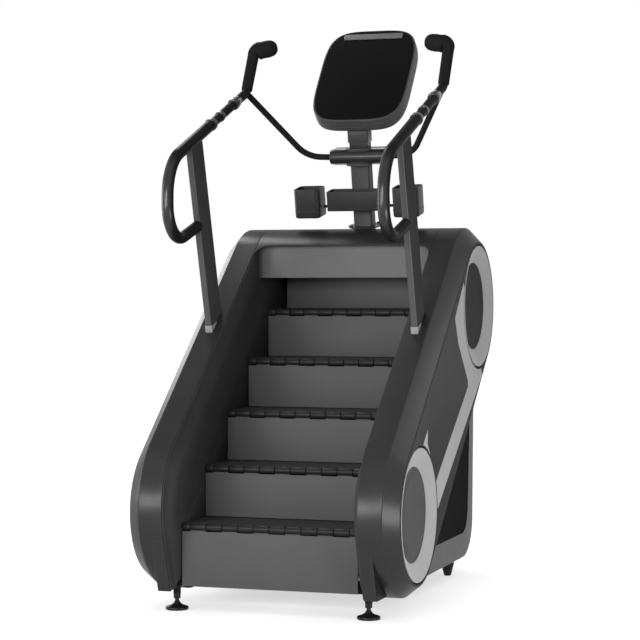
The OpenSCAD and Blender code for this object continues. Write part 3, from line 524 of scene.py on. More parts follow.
def makeFinish(name, own):                    # one material from a few plain settings
    look = {**plainLook, **own}
    material = bpy.data.materials.new(name)
    material.use_nodes = True
    tree = material.node_tree
    shader = tree.nodes["Principled BSDF"]
    colour = grey(look["grey"])
    if "lines" in look:
        skin = placeGroup(tree, brushGroup, {"Colour": colour, "Stretch": look["lines"],
                                             "Depth": look["mottle"], "Roughness": look["rough"]})
    else:
        skin = placeGroup(tree, mouldGroup, {"Colour": colour, "Mottle": look["mottle"],
                                             "Roughness": look["rough"], "Spread": look["spread"],
                                             "Grain": look["grain"]})
    colourAndSideShade = skin["Colour"]
    # painted shade towards the sides of the machine, for the looks that ask for it
    if "sides" in look:
        start, end, shadeGrey = look["sides"]
        colourAndSideShade = placeGroup(tree, sideShadeGroup, {"Colour": colourAndSideShade, "Side": grey(shadeGrey), "From": start,
                                              "To": end})["Colour"]
    rubbedAndLitGrey = grey(min(1.0, look["grey"] * look["paleEdgeGain"] + look["paleEdgeLift"]))
    wornAndLit = placeGroup(tree, edgeWearAndHighlightGroup, {"Colour": colourAndSideShade, "RubbedAndLit": rubbedAndLitGrey, "Amount": look["edgeWearAndHighlight"],
                                        "Radius": look["edge"]})
    bump = tree.nodes.new("ShaderNodeBump")
    bump.inputs["Strength"].default_value = look["bump"]
    bump.inputs["Distance"].default_value = look["bumpDepth"]
    tree.links.new(skin["Height"], bump.inputs["Height"])
    settings = {"Base Color": wornAndLit["Colour"], "Roughness": skin["Roughness"],
                "Normal": bump.outputs["Normal"], "Metallic": look["metal"],
                "Specular IOR Level": look["shine"]}
    if "frontCoat" in look:
        coat = placeGroup(tree, frontGroup, {"Weight": look["frontCoat"], "Side": look["sideCoat"],
                                             "Top": look["topCoat"], "Back": look["backCoat"]})
        settings |= {"Coat Weight": coat["Mask"], "Coat Roughness": look["rough"],
                     "Coat IOR": look["coatBend"]}
    for label, value in settings.items():
        feed(tree, shader.inputs[label], value)
    return material


finishes = {name: makeFinish(name, look) for name, look in looks.items()}
print("finishes made:", len(finishes))


# side covers

cover = {"rimWidth": 0.093, "faceRadius": 0.267, "wall": 0.005, "inReach": 0.03, "lip": 0.002,
         "lipSteps": 3, "rimRound": 0.004, "rimSteps": 6, "faceRound": 0.005, "faceSteps": 5, "blend": 0.7,
         "faceDrop": 0.0007, "around": 240, "holeRadius": 0.258, "holeRound": 0.0015, "holeSides": 128,
         "dishDepth": 0.0300, "floorRadius": 0.235}


def loopAt(bm, x, share, inset):              # a drum-ended outline between the rim and the face
    low = rimLow.lerp(drumLow, share)
    up = rimUp.lerp(drumUp, share)
    radius = skinRadius * (1 - share) + cover["faceRadius"] * share - inset
    lean = math.atan2(up.y - low.y, up.x - low.x)
    ring = bmesh.ops.create_circle(bm, cap_ends=False, radius=radius, segments=cover["around"])["verts"]
    for i, vert in enumerate(ring):
        turn = lean - math.pi / 2 + 2 * math.pi * (i + 0.5) / cover["around"]
        centre = up if i < cover["around"] / 2 else low
        vert.co = (x, centre.x + radius * math.cos(turn), centre.y + radius * math.sin(turn))
    return edgesOf(ring)


def circleAt(bm, x, centre, radius):
    count = cover["holeSides"]
    ring = bmesh.ops.create_circle(bm, cap_ends=False, radius=radius, segments=count)["verts"]
    for i, vert in enumerate(ring):
        turn = 2 * math.pi * i / count
        vert.co = (x, centre.x + radius * math.cos(turn), centre.y + radius * math.sin(turn))
    return edgesOf(ring)


def makeCover(label, sign):
    bm = bmesh.new()
    innerX = coverLow.x
    rimX = innerX + cover["rimWidth"]
    faceX = coverHigh.x - cover["faceDrop"]
    chamfer = faceX - rimX
    wall, lip, steps = cover["wall"], cover["lip"], cover["lipSteps"]
    rim, face = cover["rimRound"], cover["faceRound"]
    rimOn, faceOn = rim * cover["blend"], face * cover["blend"]
    stations = [(innerX + cover["inReach"], 0, wall)]
    stations += roundOff((innerX + lip, 0, wall), (innerX, 0, wall), (innerX, 0, wall - lip), steps)
    stations += roundOff((innerX, 0, lip), (innerX, 0, 0), (innerX + lip, 0, 0), steps)
    stations += roundOff((rimX - rim, 0, 0), (rimX, 0, 0), (rimX + rimOn, rimOn / chamfer, 0),
                         cover["rimSteps"])
    stations += roundOff((faceX - faceOn, 1 - faceOn / chamfer, 0), (faceX, 1, 0), (faceX, 1, face),
                         cover["faceSteps"])
    loops = [loopAt(bm, *station) for station in stations]
    bridged(bm, loops)
    floorX = faceX - cover["dishDepth"]
    walls = roundOff((faceX, cover["holeRound"]), (faceX, 0), (faceX - cover["holeRound"], 0), steps)
    walls += [(floorX, 0), (floorX, cover["floorRadius"] - cover["holeRadius"])]
    holes = []
    for centre in (drumLow, drumUp):
        rings = [circleAt(bm, x, centre, cover["holeRadius"] + out) for x, out in walls]
        bridged(bm, rings)
        holes += rings[0]
        bmesh.ops.holes_fill(bm, edges=rings[-1])
    bmesh.ops.holes_fill(bm, edges=loops[0])
    fillFlat(bm, loops[-1] + holes, (1, 0, 0))
    faceOut(bm, heightOf, (0, 0, 1))
    finishPiece("cover." + label, sided(bm, sign), "coverGrey", "chassis",
                ["side_cover_" + label])


for label, sign in sides:
    makeCover(label, sign)
print("side covers made")


# inner walls beside the steps

skirt = {"thick": 0.004, "inset": 0.0025, "bottom": 0.0812, "swell": 0.026, "rings": 15, "ringStep": 0.016,
         "lowStart": 0.004, "lowReach": 0.060, "highStart": 0.135, "highReach": 0.105,
         "changeFrom": -0.10, "changeTo": 0.35, "upSteps": 90, "lowSteps": 50, "heelSteps": 12}


def smoothStep(value):
    t = min(1.0, max(0.0, value))
    return t * t * (3 - 2 * t)


def wallOutline(inset):                       # drum-ended, with a straight lower front and a flat foot
    radius = layout["rimRadius"] - skirt["inset"] - inset
    bottom = skirt["bottom"] + inset
    turn = math.radians(layout["frontTurn"])
    down, up = rimLean - math.pi / 2, rimLean + math.pi / 2
    touch = (rimLow.x - radius * math.cos(turn), rimLow.y - radius * math.sin(turn))
    toe = (touch[0] + (touch[1] - bottom) * math.tan(turn), bottom)
    heelTurn = -math.asin(min(1.0, (rimLow.y - bottom) / radius))
    outline = arcPoints(rimUp, radius, down, up, skirt["upSteps"])
    outline += arcPoints(rimLow, radius, up, math.pi + turn, skirt["lowSteps"])
    return outline + [toe] + arcPoints(rimLow, radius, heelTurn, down, skirt["heelSteps"])[:-1]


def wallSwell(co, inset):                     # how far the wall leans in towards the ends of the steps
    along = (co.y - rimLow.x) * math.cos(rimLean) + (co.z - rimLow.y) * math.sin(rimLean)
    share = smoothStep((along - skirt["changeFrom"]) / (skirt["changeTo"] - skirt["changeFrom"]))
    start = skirt["lowStart"] + (skirt["highStart"] - skirt["lowStart"]) * share
    reach = skirt["lowReach"] + (skirt["highReach"] - skirt["lowReach"]) * share
    return skirt["swell"] * smoothStep((inset - start) / reach)


def makeSkirt(label, sign):
    bm = bmesh.new()
    inner = layout["innerX"]
    loops = [closedLoop(bm, [bm.verts.new((inner + skirt["thick"], y, z)) for y, z in wallOutline(0)])]
    for k in range(skirt["rings"] + 1):
        inset = k * skirt["ringStep"]
        ring = [bm.verts.new((inner, y, z)) for y, z in wallOutline(inset)]
        for vert in ring:
            vert.co.x = inner - wallSwell(vert.co, inset)
        loops.append(closedLoop(bm, ring))
    bridged(bm, loops)
    fillFlat(bm, loops[0], (1, 0, 0))
    fillFlat(bm, loops[-1], (-1, 0, 0))
    bmesh.ops.recalc_face_normals(bm, faces=bm.faces)
    finishPiece("skirt." + label, sided(bm, sign), "skirtDark", "chassis",
                ["inner_skirt_" + label], sharp=30)


rail = {"thick": 0.0025, "half": 0.060, "from": -0.200, "to": 1.160, "proud": 0.0005, "corner": 0.004,
        "cornerSteps": 4, "soft": 0.0008}
# a slab on XY stood up on YZ
edgewise = Matrix(((0, 0, -1, 0), (1, 0, 0, 0), (0, 1, 0, 0), (0, 0, 0, 1)))


def makeRails():
    length = rail["to"] - rail["from"]
    strip = roundedPlate(length, 2 * rail["half"], rail["corner"], rail["thick"], rail["cornerSteps"])
    bevelSharp(strip, rail["soft"], 2, only=edgesAbove(rail["thick"] / 2))
    lean = math.atan2(layout["rise"], layout["run"])
    middle = (rail["from"] + rail["to"]) / 2
    spot = Vector((layout["innerX"] - skirt["swell"] + rail["thick"] - rail["proud"],
                   drumLow.x + middle * math.cos(lean), drumLow.y + middle * math.sin(lean)))
    moved(strip, Matrix.Translation(spot) @ Matrix.Rotation(lean, 4, "X") @ edgewise)
    bmesh.ops.recalc_face_normals(strip, faces=strip.faces)
    finishPiece("rails.strips", bothSides(strip), "skirtDark", "chassis", ["guide_rails"])


for label, sign in sides:
    makeSkirt(label, sign)
makeRails()
print("skirts and rails made")


# base shell behind the drums, with its recessed panels and the blocks over the front feet

base = {"half": 0.431, "low": 0.072, "rearIn": 0.018, "rearRadius": 0.165, "heelSteps": 24, "round": 0.009,
        "roundSteps": 6, "wall": 0.004, "kink": 0.330, "sideTop": 0.100, "endGap": 0.002, "drumGap": 0.0005,
        "sideGap": 0.004, "upSteps": 16, "lowSteps": 8, "slack": 1e-4}
panel = {"gap": 0.012, "low": 0.106, "deep": 0.006, "thick": 0.0015, "tip": 0.058, "tipSteps": 8,
         "corner": ((-0.215, 0), (-0.120, 0), (-0.110, 0.110)), "cornerSteps": 10}
block = {"wall": 0.012, "low": 0.0765, "back": 0.090, "inGap": 0.0002, "round": 0.003, "flankIn": 0.001,
         "flankWall": 0.005, "flankReach": 0.060}


def basePath(rear):                           # along the underside, round the heel and up the back
    radius, low = base["rearRadius"], base["low"]
    heel = Vector((rear - base["rearIn"] - radius, low + radius))
    start = rimLow.x + math.sqrt(skinRadius ** 2 - (rimLow.y - low) ** 2) + base["endGap"]
    path = [(start, low), ((start + heel.x) / 2, low)]
    path += arcPoints(heel, radius, -math.pi / 2, 0, base["heelSteps"])
    path += [(rear, rimUp.y - drop) for drop in (base["kink"], base["sideTop"], base["endGap"])]
    return [Vector(p) for p in path]


def panelOutline(rear):                       # between the drums, the back and the foot of the base
    radius = skinRadius + panel["gap"]
    down = rimLean - math.pi / 2
    low = base["low"] + panel["low"]
    tipTurn = -math.acos((rear - panel["tip"] - rimUp.x) / radius)
    corner = softAt(rear, low, panel["corner"], panel["cornerSteps"])
    below = low - rimLow.y - radius * math.sin(down)
    heel = rimLow.x + radius * math.cos(down) + below / math.tan(rimLean)
    return [(heel, low)] + corner + arcPoints(rimUp, radius, tipTurn, down, panel["tipSteps"])


def makeBase():
    rear = rimUp.x + layout["rimRadius"]
    path = basePath(rear)
    half, soft = base["half"], base["round"]
    edge = roundOff((half - soft, 0), (half, 0), (half, soft), base["roundSteps"])
    stations = [(-x, inset) for x, inset in edge[::-1]] + edge
    bm = unitGrid(len(stations) - 1, len(path) - 1)
    for vert in bm.verts:
        x, inset = stations[gridPlace(vert.co.x, stations)]
        k = gridPlace(vert.co.y, path)
        along = (path[min(k + 1, len(path) - 1)] - path[max(k - 1, 0)]).normalized()
        vert.co = (x, path[k].x - along.y * inset, path[k].y + along.x * inset)
    radius = skinRadius + base["drumGap"]
    down = rimLean - math.pi / 2
    lowEnd = -math.asin((rimLow.y - base["low"] - soft - base["sideGap"]) / radius)
    highEnd = -math.asin((base["sideTop"] + base["sideGap"]) / radius)
    drums = arcPoints(rimUp, radius, highEnd, down, base["upSteps"])
    drums += arcPoints(rimLow, radius, down, lowEnd, base["lowSteps"])
    top = rimUp.y - base["sideTop"] + base["slack"]
    for x in (-half, half):                   # a flat side with the mouth of its panel
        rim = [e for e in bm.edges if all(abs(v.co.x - x) < closeBy and v.co.z < top for v in e.verts)]
        ends = {v for e in rim for v in e.verts}
        chain = [max(ends, key=lambda v: v.co.z)] + [bm.verts.new((x, y, z)) for y, z in drums]
        chain.append(min(ends, key=lambda v: v.co.y))
        mouth = closedLoop(bm, [bm.verts.new((x, y, z)) for y, z in panelOutline(rear)])
        fillFlat(bm, rim + [bm.edges.new(pair) for pair in zip(chain, chain[1:])] + mouth, (x, 0, 0))
        wall = bmesh.ops.extrude_edge_only(bm, edges=mouth)
        bmesh.ops.translate(bm, vec=(-math.copysign(panel["deep"], x), 0, 0), verts=vertsOf(wall))
    faceOut(bm, lambda face: -heightOf(face), (0, 0, -1))
    shell = finishPiece("base.shell", bm, "baseGrey", "chassis", ["base_cover"])
    addWall(shell, base["wall"])
    deep = half - panel["deep"]
    sheet = prism(panelOutline(rear), deep, deep + panel["thick"])
    finishPiece("base.panels", bothSides(sheet), "panelDark", "chassis", ["rear_panels"])


def makeBlocks():                             # they carry the front of the rims on down to the feet
    turn = math.radians(layout["frontTurn"])
    top = Vector((rimLow.x - skinRadius * math.cos(turn), rimLow.y - skinRadius * math.sin(turn)))
    wall, low, half = block["wall"], block["low"], base["half"]
    toe = top.x + (top.y - low) * math.tan(turn)
    back = rimLow.x - block["back"]
    plate = prism([(top.x, top.y), (toe, low), (toe + wall, low), (top.x + wall, top.y)],
                  coverLow.x + block["inGap"], half)
    flank = prism([(top.x + block["flankIn"], top.y), (toe + block["flankIn"], low), (back, low),
                   (back, low + block["flankReach"]), (top.x + block["flankReach"], top.y)],
                  half - block["flankWall"], half)
    bevelSharp(plate, block["round"], 4, only=lambda e: all(v.co.x > half - base["slack"] for v in e.verts))
    finishPiece("base.blocks", bothSides(joined([plate, flank])), "coverGrey", "chassis")


makeBase()
makeBlocks()
print("base made")


# dished rings and centre caps, in profile: along X, then out from the centre

dish = {"ringRadius": 0.252, "depth": 0.0265, "sunk": 0.0027, "slopeUp": 0.003, "capGap": 0.0003,
        "around": 160, "softSteps": 3, "outerEdge": ((-0.002, 0), (0, 0), (0, -0.0018)),
        "innerEdge": ((0, -0.0032), (0, -0.004), (-0.0012, -0.0075)),
        "slopeEnd": ((0.0006, 0.003), (0, 0), (-0.0015, 0)),
        "capUp": 0.004, "capEdge": ((-0.0012, 0), (0, 0), (0, -0.002)),
        "capGroove": ((0, -0.010), (-0.0008, -0.0112), (-0.0008, -0.0125)),
        "capDome": 0.003, "domeIn": 0.0135, "domeSteps": (1, 0.8, 0.6, 0.4, 0.2, 0)}


def makeDishes():
    faceX = coverHigh.x
    floor = faceX - dish["depth"] - dish["sunk"]
    outer, edge, steps = dish["ringRadius"], layout["capRadius"], dish["softSteps"]
    inner = edge + dish["capGap"]
    ringProfile = [(floor, inner), (floor, outer)] + softAt(faceX, outer, dish["outerEdge"], steps)
    ringProfile += softAt(faceX, outer, dish["innerEdge"], steps)
    ringProfile += softAt(floor + dish["slopeUp"], inner, dish["slopeEnd"], steps) + [(floor, inner)]
    dome = floor + dish["capUp"]
    capProfile = [(floor, 0.0), (floor, edge)] + softAt(dome, edge, dish["capEdge"], steps)
    capProfile += [(dome + x, edge + r) for x, r in dish["capGroove"]]
    capProfile += [(dome + dish["capDome"] * (1 - t * t), (edge - dish["domeIn"]) * t)
                   for t in dish["domeSteps"]]
    rings, lowerCaps, upperCaps = [], [], []
    for centre, caps in ((drumLow, lowerCaps), (drumUp, upperCaps)):
        spot = Matrix.Translation((0, centre.x, centre.y))
        for profile, parts in ((ringProfile, rings), (capProfile, caps)):
            part = moved(lathe(profile, dish["around"]), spot)
            parts.extend([part, mirrored(part)])
    finishPiece("dish.rings", joined(rings), "paleTrim", "chassis", ["disc_rings"])
    finishPiece("dish.capsLower", joined(lowerCaps), "capLower", "chassis", ["disc_caps"])
    # the upper caps take the darker copy of the cap grey, painted shade
    finishPiece("dish.capsUpper", joined(upperCaps), "capUpper", "chassis")


makeDishes()
print("dishes made")


# hood and apron

hood = {"thick": 0.005, "corner": 0.060, "columns": 120, "rows": 72, "sideGap": 0.0004, "soft": 0.0016,
        "softSteps": 4, "softTurn": 50}
apron = {"front": 0.983, "low": 1.264, "tall": 0.145, "thick": 0.004, "rows": 16, "bend": 14,
         "sideGap": 0.0005, "wing": 0.012, "topGap": 0.0006, "soft": 0.0012, "softSteps": 3, "softTurn": 50}


def hoodPoint(x, s):                          # s runs along the slope, then round the upper drum
    length = (rimUp - rimLow).length
    radius = skinRadius
    if s <= length:
        spot = rimLow + (rimUp - rimLow) * (s / length)
        return Vector((x, spot.x - radius * math.sin(rimLean), spot.y + radius * math.cos(rimLean)))
    turn = rimLean + math.pi / 2 - (s - length) / radius
    return Vector((x, rimUp.x + radius * math.cos(turn), rimUp.y + radius * math.sin(turn)))


def makeHood():
    bm = unitGrid(hood["columns"], hood["rows"])
    half = coverLow.x - hood["sideGap"]
    length = (rimUp - rimLow).length
    arc = skinRadius * (rimLean + math.pi / 2)
    for vert in bm.verts:                     # columns crowd towards the sides, where the front edge curves
        x = half * (vert.co.x + math.sin(vert.co.x * math.pi) / 2)
        past = min(hood["corner"], max(0, abs(x) - layout["innerX"] + hood["corner"]))
        edge = length - hood["corner"] + math.sqrt(hood["corner"] ** 2 - past ** 2)
        vert.co = hoodPoint(x, edge + (length + arc - edge) * (vert.co.y + 0.5))
    faceOut(bm, heightOf, (0, 0, 1))
    piece = finishPiece("hood.shell", bm, "coverGrey", "chassis", ["hood"])
    addWall(piece, hood["thick"])
    addSoft(piece, hood["soft"], hood["softSteps"], hood["softTurn"])


def makeApron():
    radius, low = hood["corner"], apron["low"]
    half = layout["innerX"] - apron["sideGap"]
    wing = apron["front"] - radius - apron["wing"]
    plan = [Vector((-half, wing, 0)), Vector((-half, apron["front"], 0)),
            Vector((half, apron["front"], 0)), Vector((half, wing, 0))]
    path = turnedPath(plan, [0, radius, radius, 0], apron["bend"])
    bm = unitGrid(len(path) - 1, apron["rows"])
    inner = skinRadius - hood["thick"] - apron["topGap"]
    edgeY = rimUp.x - inner * math.sin(rimLean)
    for vert in bm.verts:
        spot = path[gridPlace(vert.co.x, path)]
        y = spot.y + noseY
        if y > edgeY:                         # under the drum, else under the slope
            top = rimUp.y + math.sqrt(inner ** 2 - (y - rimUp.x) ** 2)
        else:
            top = rimUp.y + inner * math.cos(rimLean) + (y - edgeY) * math.tan(rimLean)
        top = min(top, low + apron["tall"])
        vert.co = (spot.x, y, low + (top - low) * (vert.co.y + 0.5))
    faceOut(bm, lambda face: -abs(face.calc_center_median().x), (0, -1, 0))
    piece = finishPiece("apron.panel", bm, "apronGrey", "chassis", ["apron"])
    addWall(piece, apron["thick"])
    addSoft(piece, apron["soft"], apron["softSteps"], apron["softTurn"])


makeHood()
makeApron()
print("hood and apron made")


# steps

step = {"count": 6, "firstZ": 0.3185, "knuckles": 11, "knuckleGap": 0.0030, "knuckleSoft": 0.0005,
        "topTilt": -35.03, "hingeLine": 0.0026}
tread = {"length": 0.2455, "thick": 0.020, "strapBack": 0.0155, "strapNeck": (0.006, -0.0115),
         "strapHeel": 0.014, "strapLap": 0.003, "strapDrop": 0.0002, "ribs": 13, "ribPitch": 0.0155,
         "ribWidth": 0.0085, "ribHeight": 0.0017, "ribStart": 0.0345, "soft": 0.001,
         "bracketX": 0.296, "bracketThick": 0.008, "bracketTop": (0.120, 0.221), "bracketIn": 0.001,
         "bracketLow": ((0.180, -0.0727), (0.110, -0.1298)), "bracketSoft": 0.001}
riser = {"thick": 0.009, "drop": 0.1845, "firstDrop": 0.2245, "soft": 0.0012, "tabLap": 0.002,
         "tabBack": -0.0122, "tabFront": ((0.0012, -0.0126), (0, -0.0138)), "rollSteps": 36}


def barrelArc(fromDegrees, toDegrees, steps=14):
    turns = math.radians(fromDegrees), math.radians(toDegrees)
    return arcPoints(Vector((0, 0)), layout["barrel"], *turns, steps)


def knuckleSpan(i):
    half = layout["stepHalf"]
    width = 2 * half / step["knuckles"]
    x = -half + (i - 0.5) * width
    return max(-half, x + step["knuckleGap"] / 2), min(half, x + width - step["knuckleGap"] / 2)


def knuckleRow(outline, first):               # every second knuckle, so that two rows interlock
    row = []
    for i in range(first, step["knuckles"] + 1, 2):
        row.append(prism(outline, *knuckleSpan(i)))
        bevelSharp(row[-1], step["knuckleSoft"], 2)
    return row


def makeTread(k, spot):
    top = layout["barrel"]
    bottom = top - tread["thick"]
    front, back, soft = tread["strapBack"], tread["length"], tread["soft"]
    lap = front + tread["strapLap"]
    strap = [tread["strapNeck"], (tread["strapHeel"], bottom), (lap, bottom),
             (lap, top - tread["strapDrop"])]
    parts = knuckleRow(barrelArc(90, 270) + strap, 0)
    wide, low = tread["ribWidth"], top - tread["ribHeight"]
    ribbed = []
    for i in range(tread["ribs"]):
        y = tread["ribStart"] + i * tread["ribPitch"]
        ribbed += [(y, low), (y + soft, top), (y + wide - soft, top), (y + wide, low)]
    slab = [(front, bottom), (back, bottom), (back, top - soft), (back - soft, top)]
    parts.append(prism(slab + ribbed[::-1] + [(front, top)], -layout["stepHalf"], layout["stepHalf"]))
    last = k == step["count"]                 # the top step tips back under the hood, without brackets
    if not last:
        outline = [(y, bottom + tread["bracketIn"]) for y in tread["bracketTop"]]
        outline += tread["bracketLow"]
        for x in (tread["bracketX"], -tread["bracketX"] - tread["bracketThick"]):
            parts.append(prism(outline, x, x + tread["bracketThick"]))
            bevelSharp(parts[-1], tread["bracketSoft"], 2, least=30)
    tilt = Matrix.Rotation(math.radians(step["topTilt"] if last else 0), 4, "X")
    bm = moved(joined(parts), Matrix.Translation(spot) @ tilt)
    finishPiece("tread.%d" % k, bm, "treadDark", "flight", ["tread_%d" % k], sharp=30)


def makeRiser(k, spot):
    drop = riser["firstDrop"] if k == 1 else riser["drop"]
    front = -layout["barrel"]
    back = front + riser["thick"]
    sill = front - step["hingeLine"]
    tabLow = sill - riser["tabLap"]
    tab = [(front, tabLow), (back, tabLow), (back, riser["tabBack"])]
    rolls = knuckleRow(barrelArc(0, 360, riser["rollSteps"])[:-1], 1)
    parts = knuckleRow(tab + [(front + y, z) for y, z in riser["tabFront"]], 1)
    parts.append(prism([(front, -drop), (back, -drop), (back, sill), (front, sill)],
                       -layout["stepHalf"], layout["stepHalf"]))
    bevelSharp(parts[-1], riser["soft"], 3, least=30)
    place = Matrix.Translation(spot)
    body = "riser_body_%d" % k
    finishPiece("riser.%d" % k, moved(joined(parts), place), "riserGrey", body,
                ["riser_%d" % k], sharp=30)
    finishPiece("riserKnuckles.%d" % k, moved(joined(rolls), place), "treadDark", body)


firstNose = Vector((0, noseY + layout["barrel"], step["firstZ"]))
for k in range(1, step["count"] + 1):
    spot = firstNose + (k - 1) * Vector((0, layout["run"], layout["rise"]))
    makeTread(k, spot)
    makeRiser(k, spot)
print("steps made")


# posts and handlebars

post = {"width": 0.026, "depth": 0.128, "round": 0.005, "roundSteps": 6, "length": 0.92, "lean": 17,
        "footY": 0.492, "footZ": 1.044, "intoBar": 0.55}
bar = {"slope": 21.8, "gripLength": 0.700, "aheadY": -0.211, "aboveZ": 0.740, "around": 12,
       "neckStart": 0.262, "neckEnd": 0.640, "neckShare": 0.82, "neckStep": 0.002,
       "loopAhead": -0.224, "loopDrop": -0.413, "loopEnd": (0.139, -0.302),
       "loopRadii": (0, 0.185, 0.125, 0), "loopSteps": 24, "tailDrop": 0.15, "intoPost": 0.001}
mast = {"lean": 12, "aheadY": 0.080, "aboveZ": 0.009, "clampHalf": 0.127, "clampUp": 0.307,
        "clampIn": 0.008}
postFoot = at(0, post["footY"], post["footZ"])
gripStart = postFoot + Vector((0, bar["aheadY"], bar["aboveZ"]))
mastFoot = Vector((0, drumUp.x + mast["aheadY"], rimUp.y + layout["rimRadius"] + mast["aboveZ"]))


def gripAt(s, n=0.0):                         # along the sloping grip and square to it
    a = math.radians(bar["slope"])
    return gripStart + Vector((0, s * math.cos(a) - n * math.sin(a), s * math.sin(a) + n * math.cos(a)))


def makePost(label, sign):
    bm = roundedPlate(post["width"], post["depth"], post["round"], post["length"], post["roundSteps"])
    stand = leaning(onSide(postFoot, layout["postX"]), post["lean"])
    moved(bm, stand @ Matrix.Translation((0, post["depth"] / 2, 0)))
    a = math.radians(bar["slope"])
    up = Vector((0, -math.sin(a), math.cos(a)))
    cutAway(bm, allOf(bm), gripAt(0, -layout["barRadius"] * post["intoBar"]), up)
    finishPiece("post." + label, sided(bm, sign), "postGrey", "chassis", ["post_" + label])


def makeBar(label, sign):
    x, ahead, neck = layout["postX"], bar["loopAhead"], bar["neckStep"]
    loop = ((ahead, ahead * math.tan(math.radians(bar["slope"]))), (ahead, bar["loopDrop"]), bar["loopEnd"])
    corners = [gripAt(bar["neckEnd"])] + [gripStart + Vector((0, *turn)) for turn in loop]
    path = turnedPath([onSide(c, x) for c in corners], bar["loopRadii"], bar["loopSteps"])
    path[1:1] = [onSide(gripAt(bar["neckStart"] + d), x) for d in (neck, -neck)]
    bm = tube(path, layout["barRadius"], bar["around"], [bar["neckShare"]] * 2 + [1] * (len(path) - 2))
    lean = math.radians(post["lean"])
    back = Vector((0, math.cos(lean), math.sin(lean)))
    low = gripStart.z - bar["tailDrop"]
    tail = [v for v in bm.verts if v.co.z < low]
    tail += [g for g in bm.edges[:] + bm.faces[:] if all(v.co.z < low for v in g.verts)]
    cutAway(bm, tail, postFoot + back * bar["intoPost"], back)
    finishPiece("handlebar." + label, sided(bm, sign), "gripBlack", "chassis",
                ["handlebar_" + label])


# each collar by its place on the grip, in profile: along the grip, then out from its axis
collar = {"inside": 0.001, "around": 64, "soft": 0.0012, "softTurn": 25, "weld": 2e-5, "outlines": {
    0.262: ((-0.018, 0.0215), (-0.017, 0.0253), (-0.014, 0.0262), (0.002, 0.0262), (0.011, 0.0240),
            (0.020, 0.0178)),
    0.366: ((-0.011, 0.0178), (-0.010, 0.0212), (-0.006, 0.0223), (0.006, 0.0223), (0.010, 0.0212),
            (0.011, 0.0178)),
    0.555: ((-0.030, 0.0178), (-0.029, 0.0222), (-0.025, 0.0245), (-0.014, 0.0252), (0.008, 0.0238),
            (0.030, 0.0202), (0.044, 0.0178))}}


def makeCollars():
    parts = []
    aim = Matrix.Rotation(math.radians(bar["slope"]), 4, "X") @ Matrix.Rotation(math.pi / 2, 4, "Z")
    inner = layout["barRadius"] * bar["neckShare"] - collar["inside"]
    for s, outline in collar["outlines"].items():
        profile = [(outline[0][0], inner), *outline, (outline[-1][0], inner), (outline[0][0], inner)]
        ring = lathe(profile, collar["around"])
        bevelSharp(ring, collar["soft"], 3, least=collar["softTurn"])
        bmesh.ops.remove_doubles(ring, verts=ring.verts, dist=collar["weld"])
        moved(ring, Matrix.Translation(onSide(gripAt(s), layout["postX"])) @ aim)
        parts += [ring, mirrored(ring)]
    finishPiece("grip.collars", joined(parts), "collarSteel", "chassis", ["pulse_grips"])


horn = {"start": 0.641, "rise": (0.098, 0.184), "bend": 0.045, "heelBend": 0.026, "bendSteps": 14,
        "headReach": 0.103, "headRise": 0.016, "around": 14, "swellSteps": 8, "stemSwell": 0.025,
        "heelSwell": 0.042, "headAt": (0.2, 0.4, 0.6, 0.76, 0.88, 0.96, 1.0),
        "headWidths": (1.54, 1.58, 1.54, 1.42, 1.16, 0.82, 0.36)}


def makeHorn(label, sign):                    # a stem that turns in and swells into a boot-like head
    x, neck, count = layout["postX"], bar["neckShare"], horn["swellSteps"]
    joint = gripAt(bar["gripLength"])
    top = joint + Vector((0, *horn["rise"]))
    toe = onSide(top, x - horn["headReach"]) + Vector((0, 0, horn["headRise"]))
    path = turnedPath([onSide(gripAt(horn["start"]), x), onSide(joint, x), onSide(top, x), toe],
                      [0, horn["bend"], horn["heelBend"], 0], horn["bendSteps"])
    bent = horn["bendSteps"] + 1              # the last point of the lower bend, where the stem swells
    rise = (path[bent] - path[bent - 1]) / count
    path[bent:bent] = [path[bent - 1] + rise * k for k in range(1, count)]
    widths = [neck] * bent + [neck + horn["stemSwell"] * k for k in range(1, count)]
    widths += [1.0 + horn["heelSwell"] * k for k in range(len(path) - len(widths))]
    along = toe - path[-2]
    path[-1:] = [path[-2] + along * t for t in horn["headAt"]]
    widths[-1:] = horn["headWidths"]
    bm = tube(path, layout["barRadius"], horn["around"], widths)
    finishPiece("horn." + label, sided(bm, sign), "hornBlack", "chassis",
                ["horn_" + label], sharp=80)


cross = {"radius": 0.013, "around": 8, "bend": 0.11, "bendSteps": 20, "reach": 0.108, "lift": 0.004,
         "gap": 0.0005}


def makeCrossTube(label, sign):
    lean = math.radians(mast["lean"])
    middle = mastFoot + mast["clampUp"] * Vector((0, -math.sin(lean), math.cos(lean)))
    middle += mast["clampIn"] * Vector((0, math.cos(lean), math.sin(lean)))
    start = onSide(middle, mast["clampHalf"] + cross["gap"])
    bend = onSide(middle, mast["clampHalf"] + cross["reach"]) + Vector((0, 0, cross["lift"]))
    end = onSide(gripAt(bar["gripLength"]), layout["postX"])
    path = turnedPath([start, bend, end], [0, cross["bend"], 0], cross["bendSteps"])
    bm = tube(path, cross["radius"], cross["around"])
    finishPiece("crossTube." + label, sided(bm, sign), "hornBlack", "chassis",
                ["cross_tube_" + label])


for label, sign in sides:
    makePost(label, sign)
    makeBar(label, sign)
    makeHorn(label, sign)
    makeCrossTube(label, sign)
makeCollars()
print("posts and handlebars made")


# console and clamp

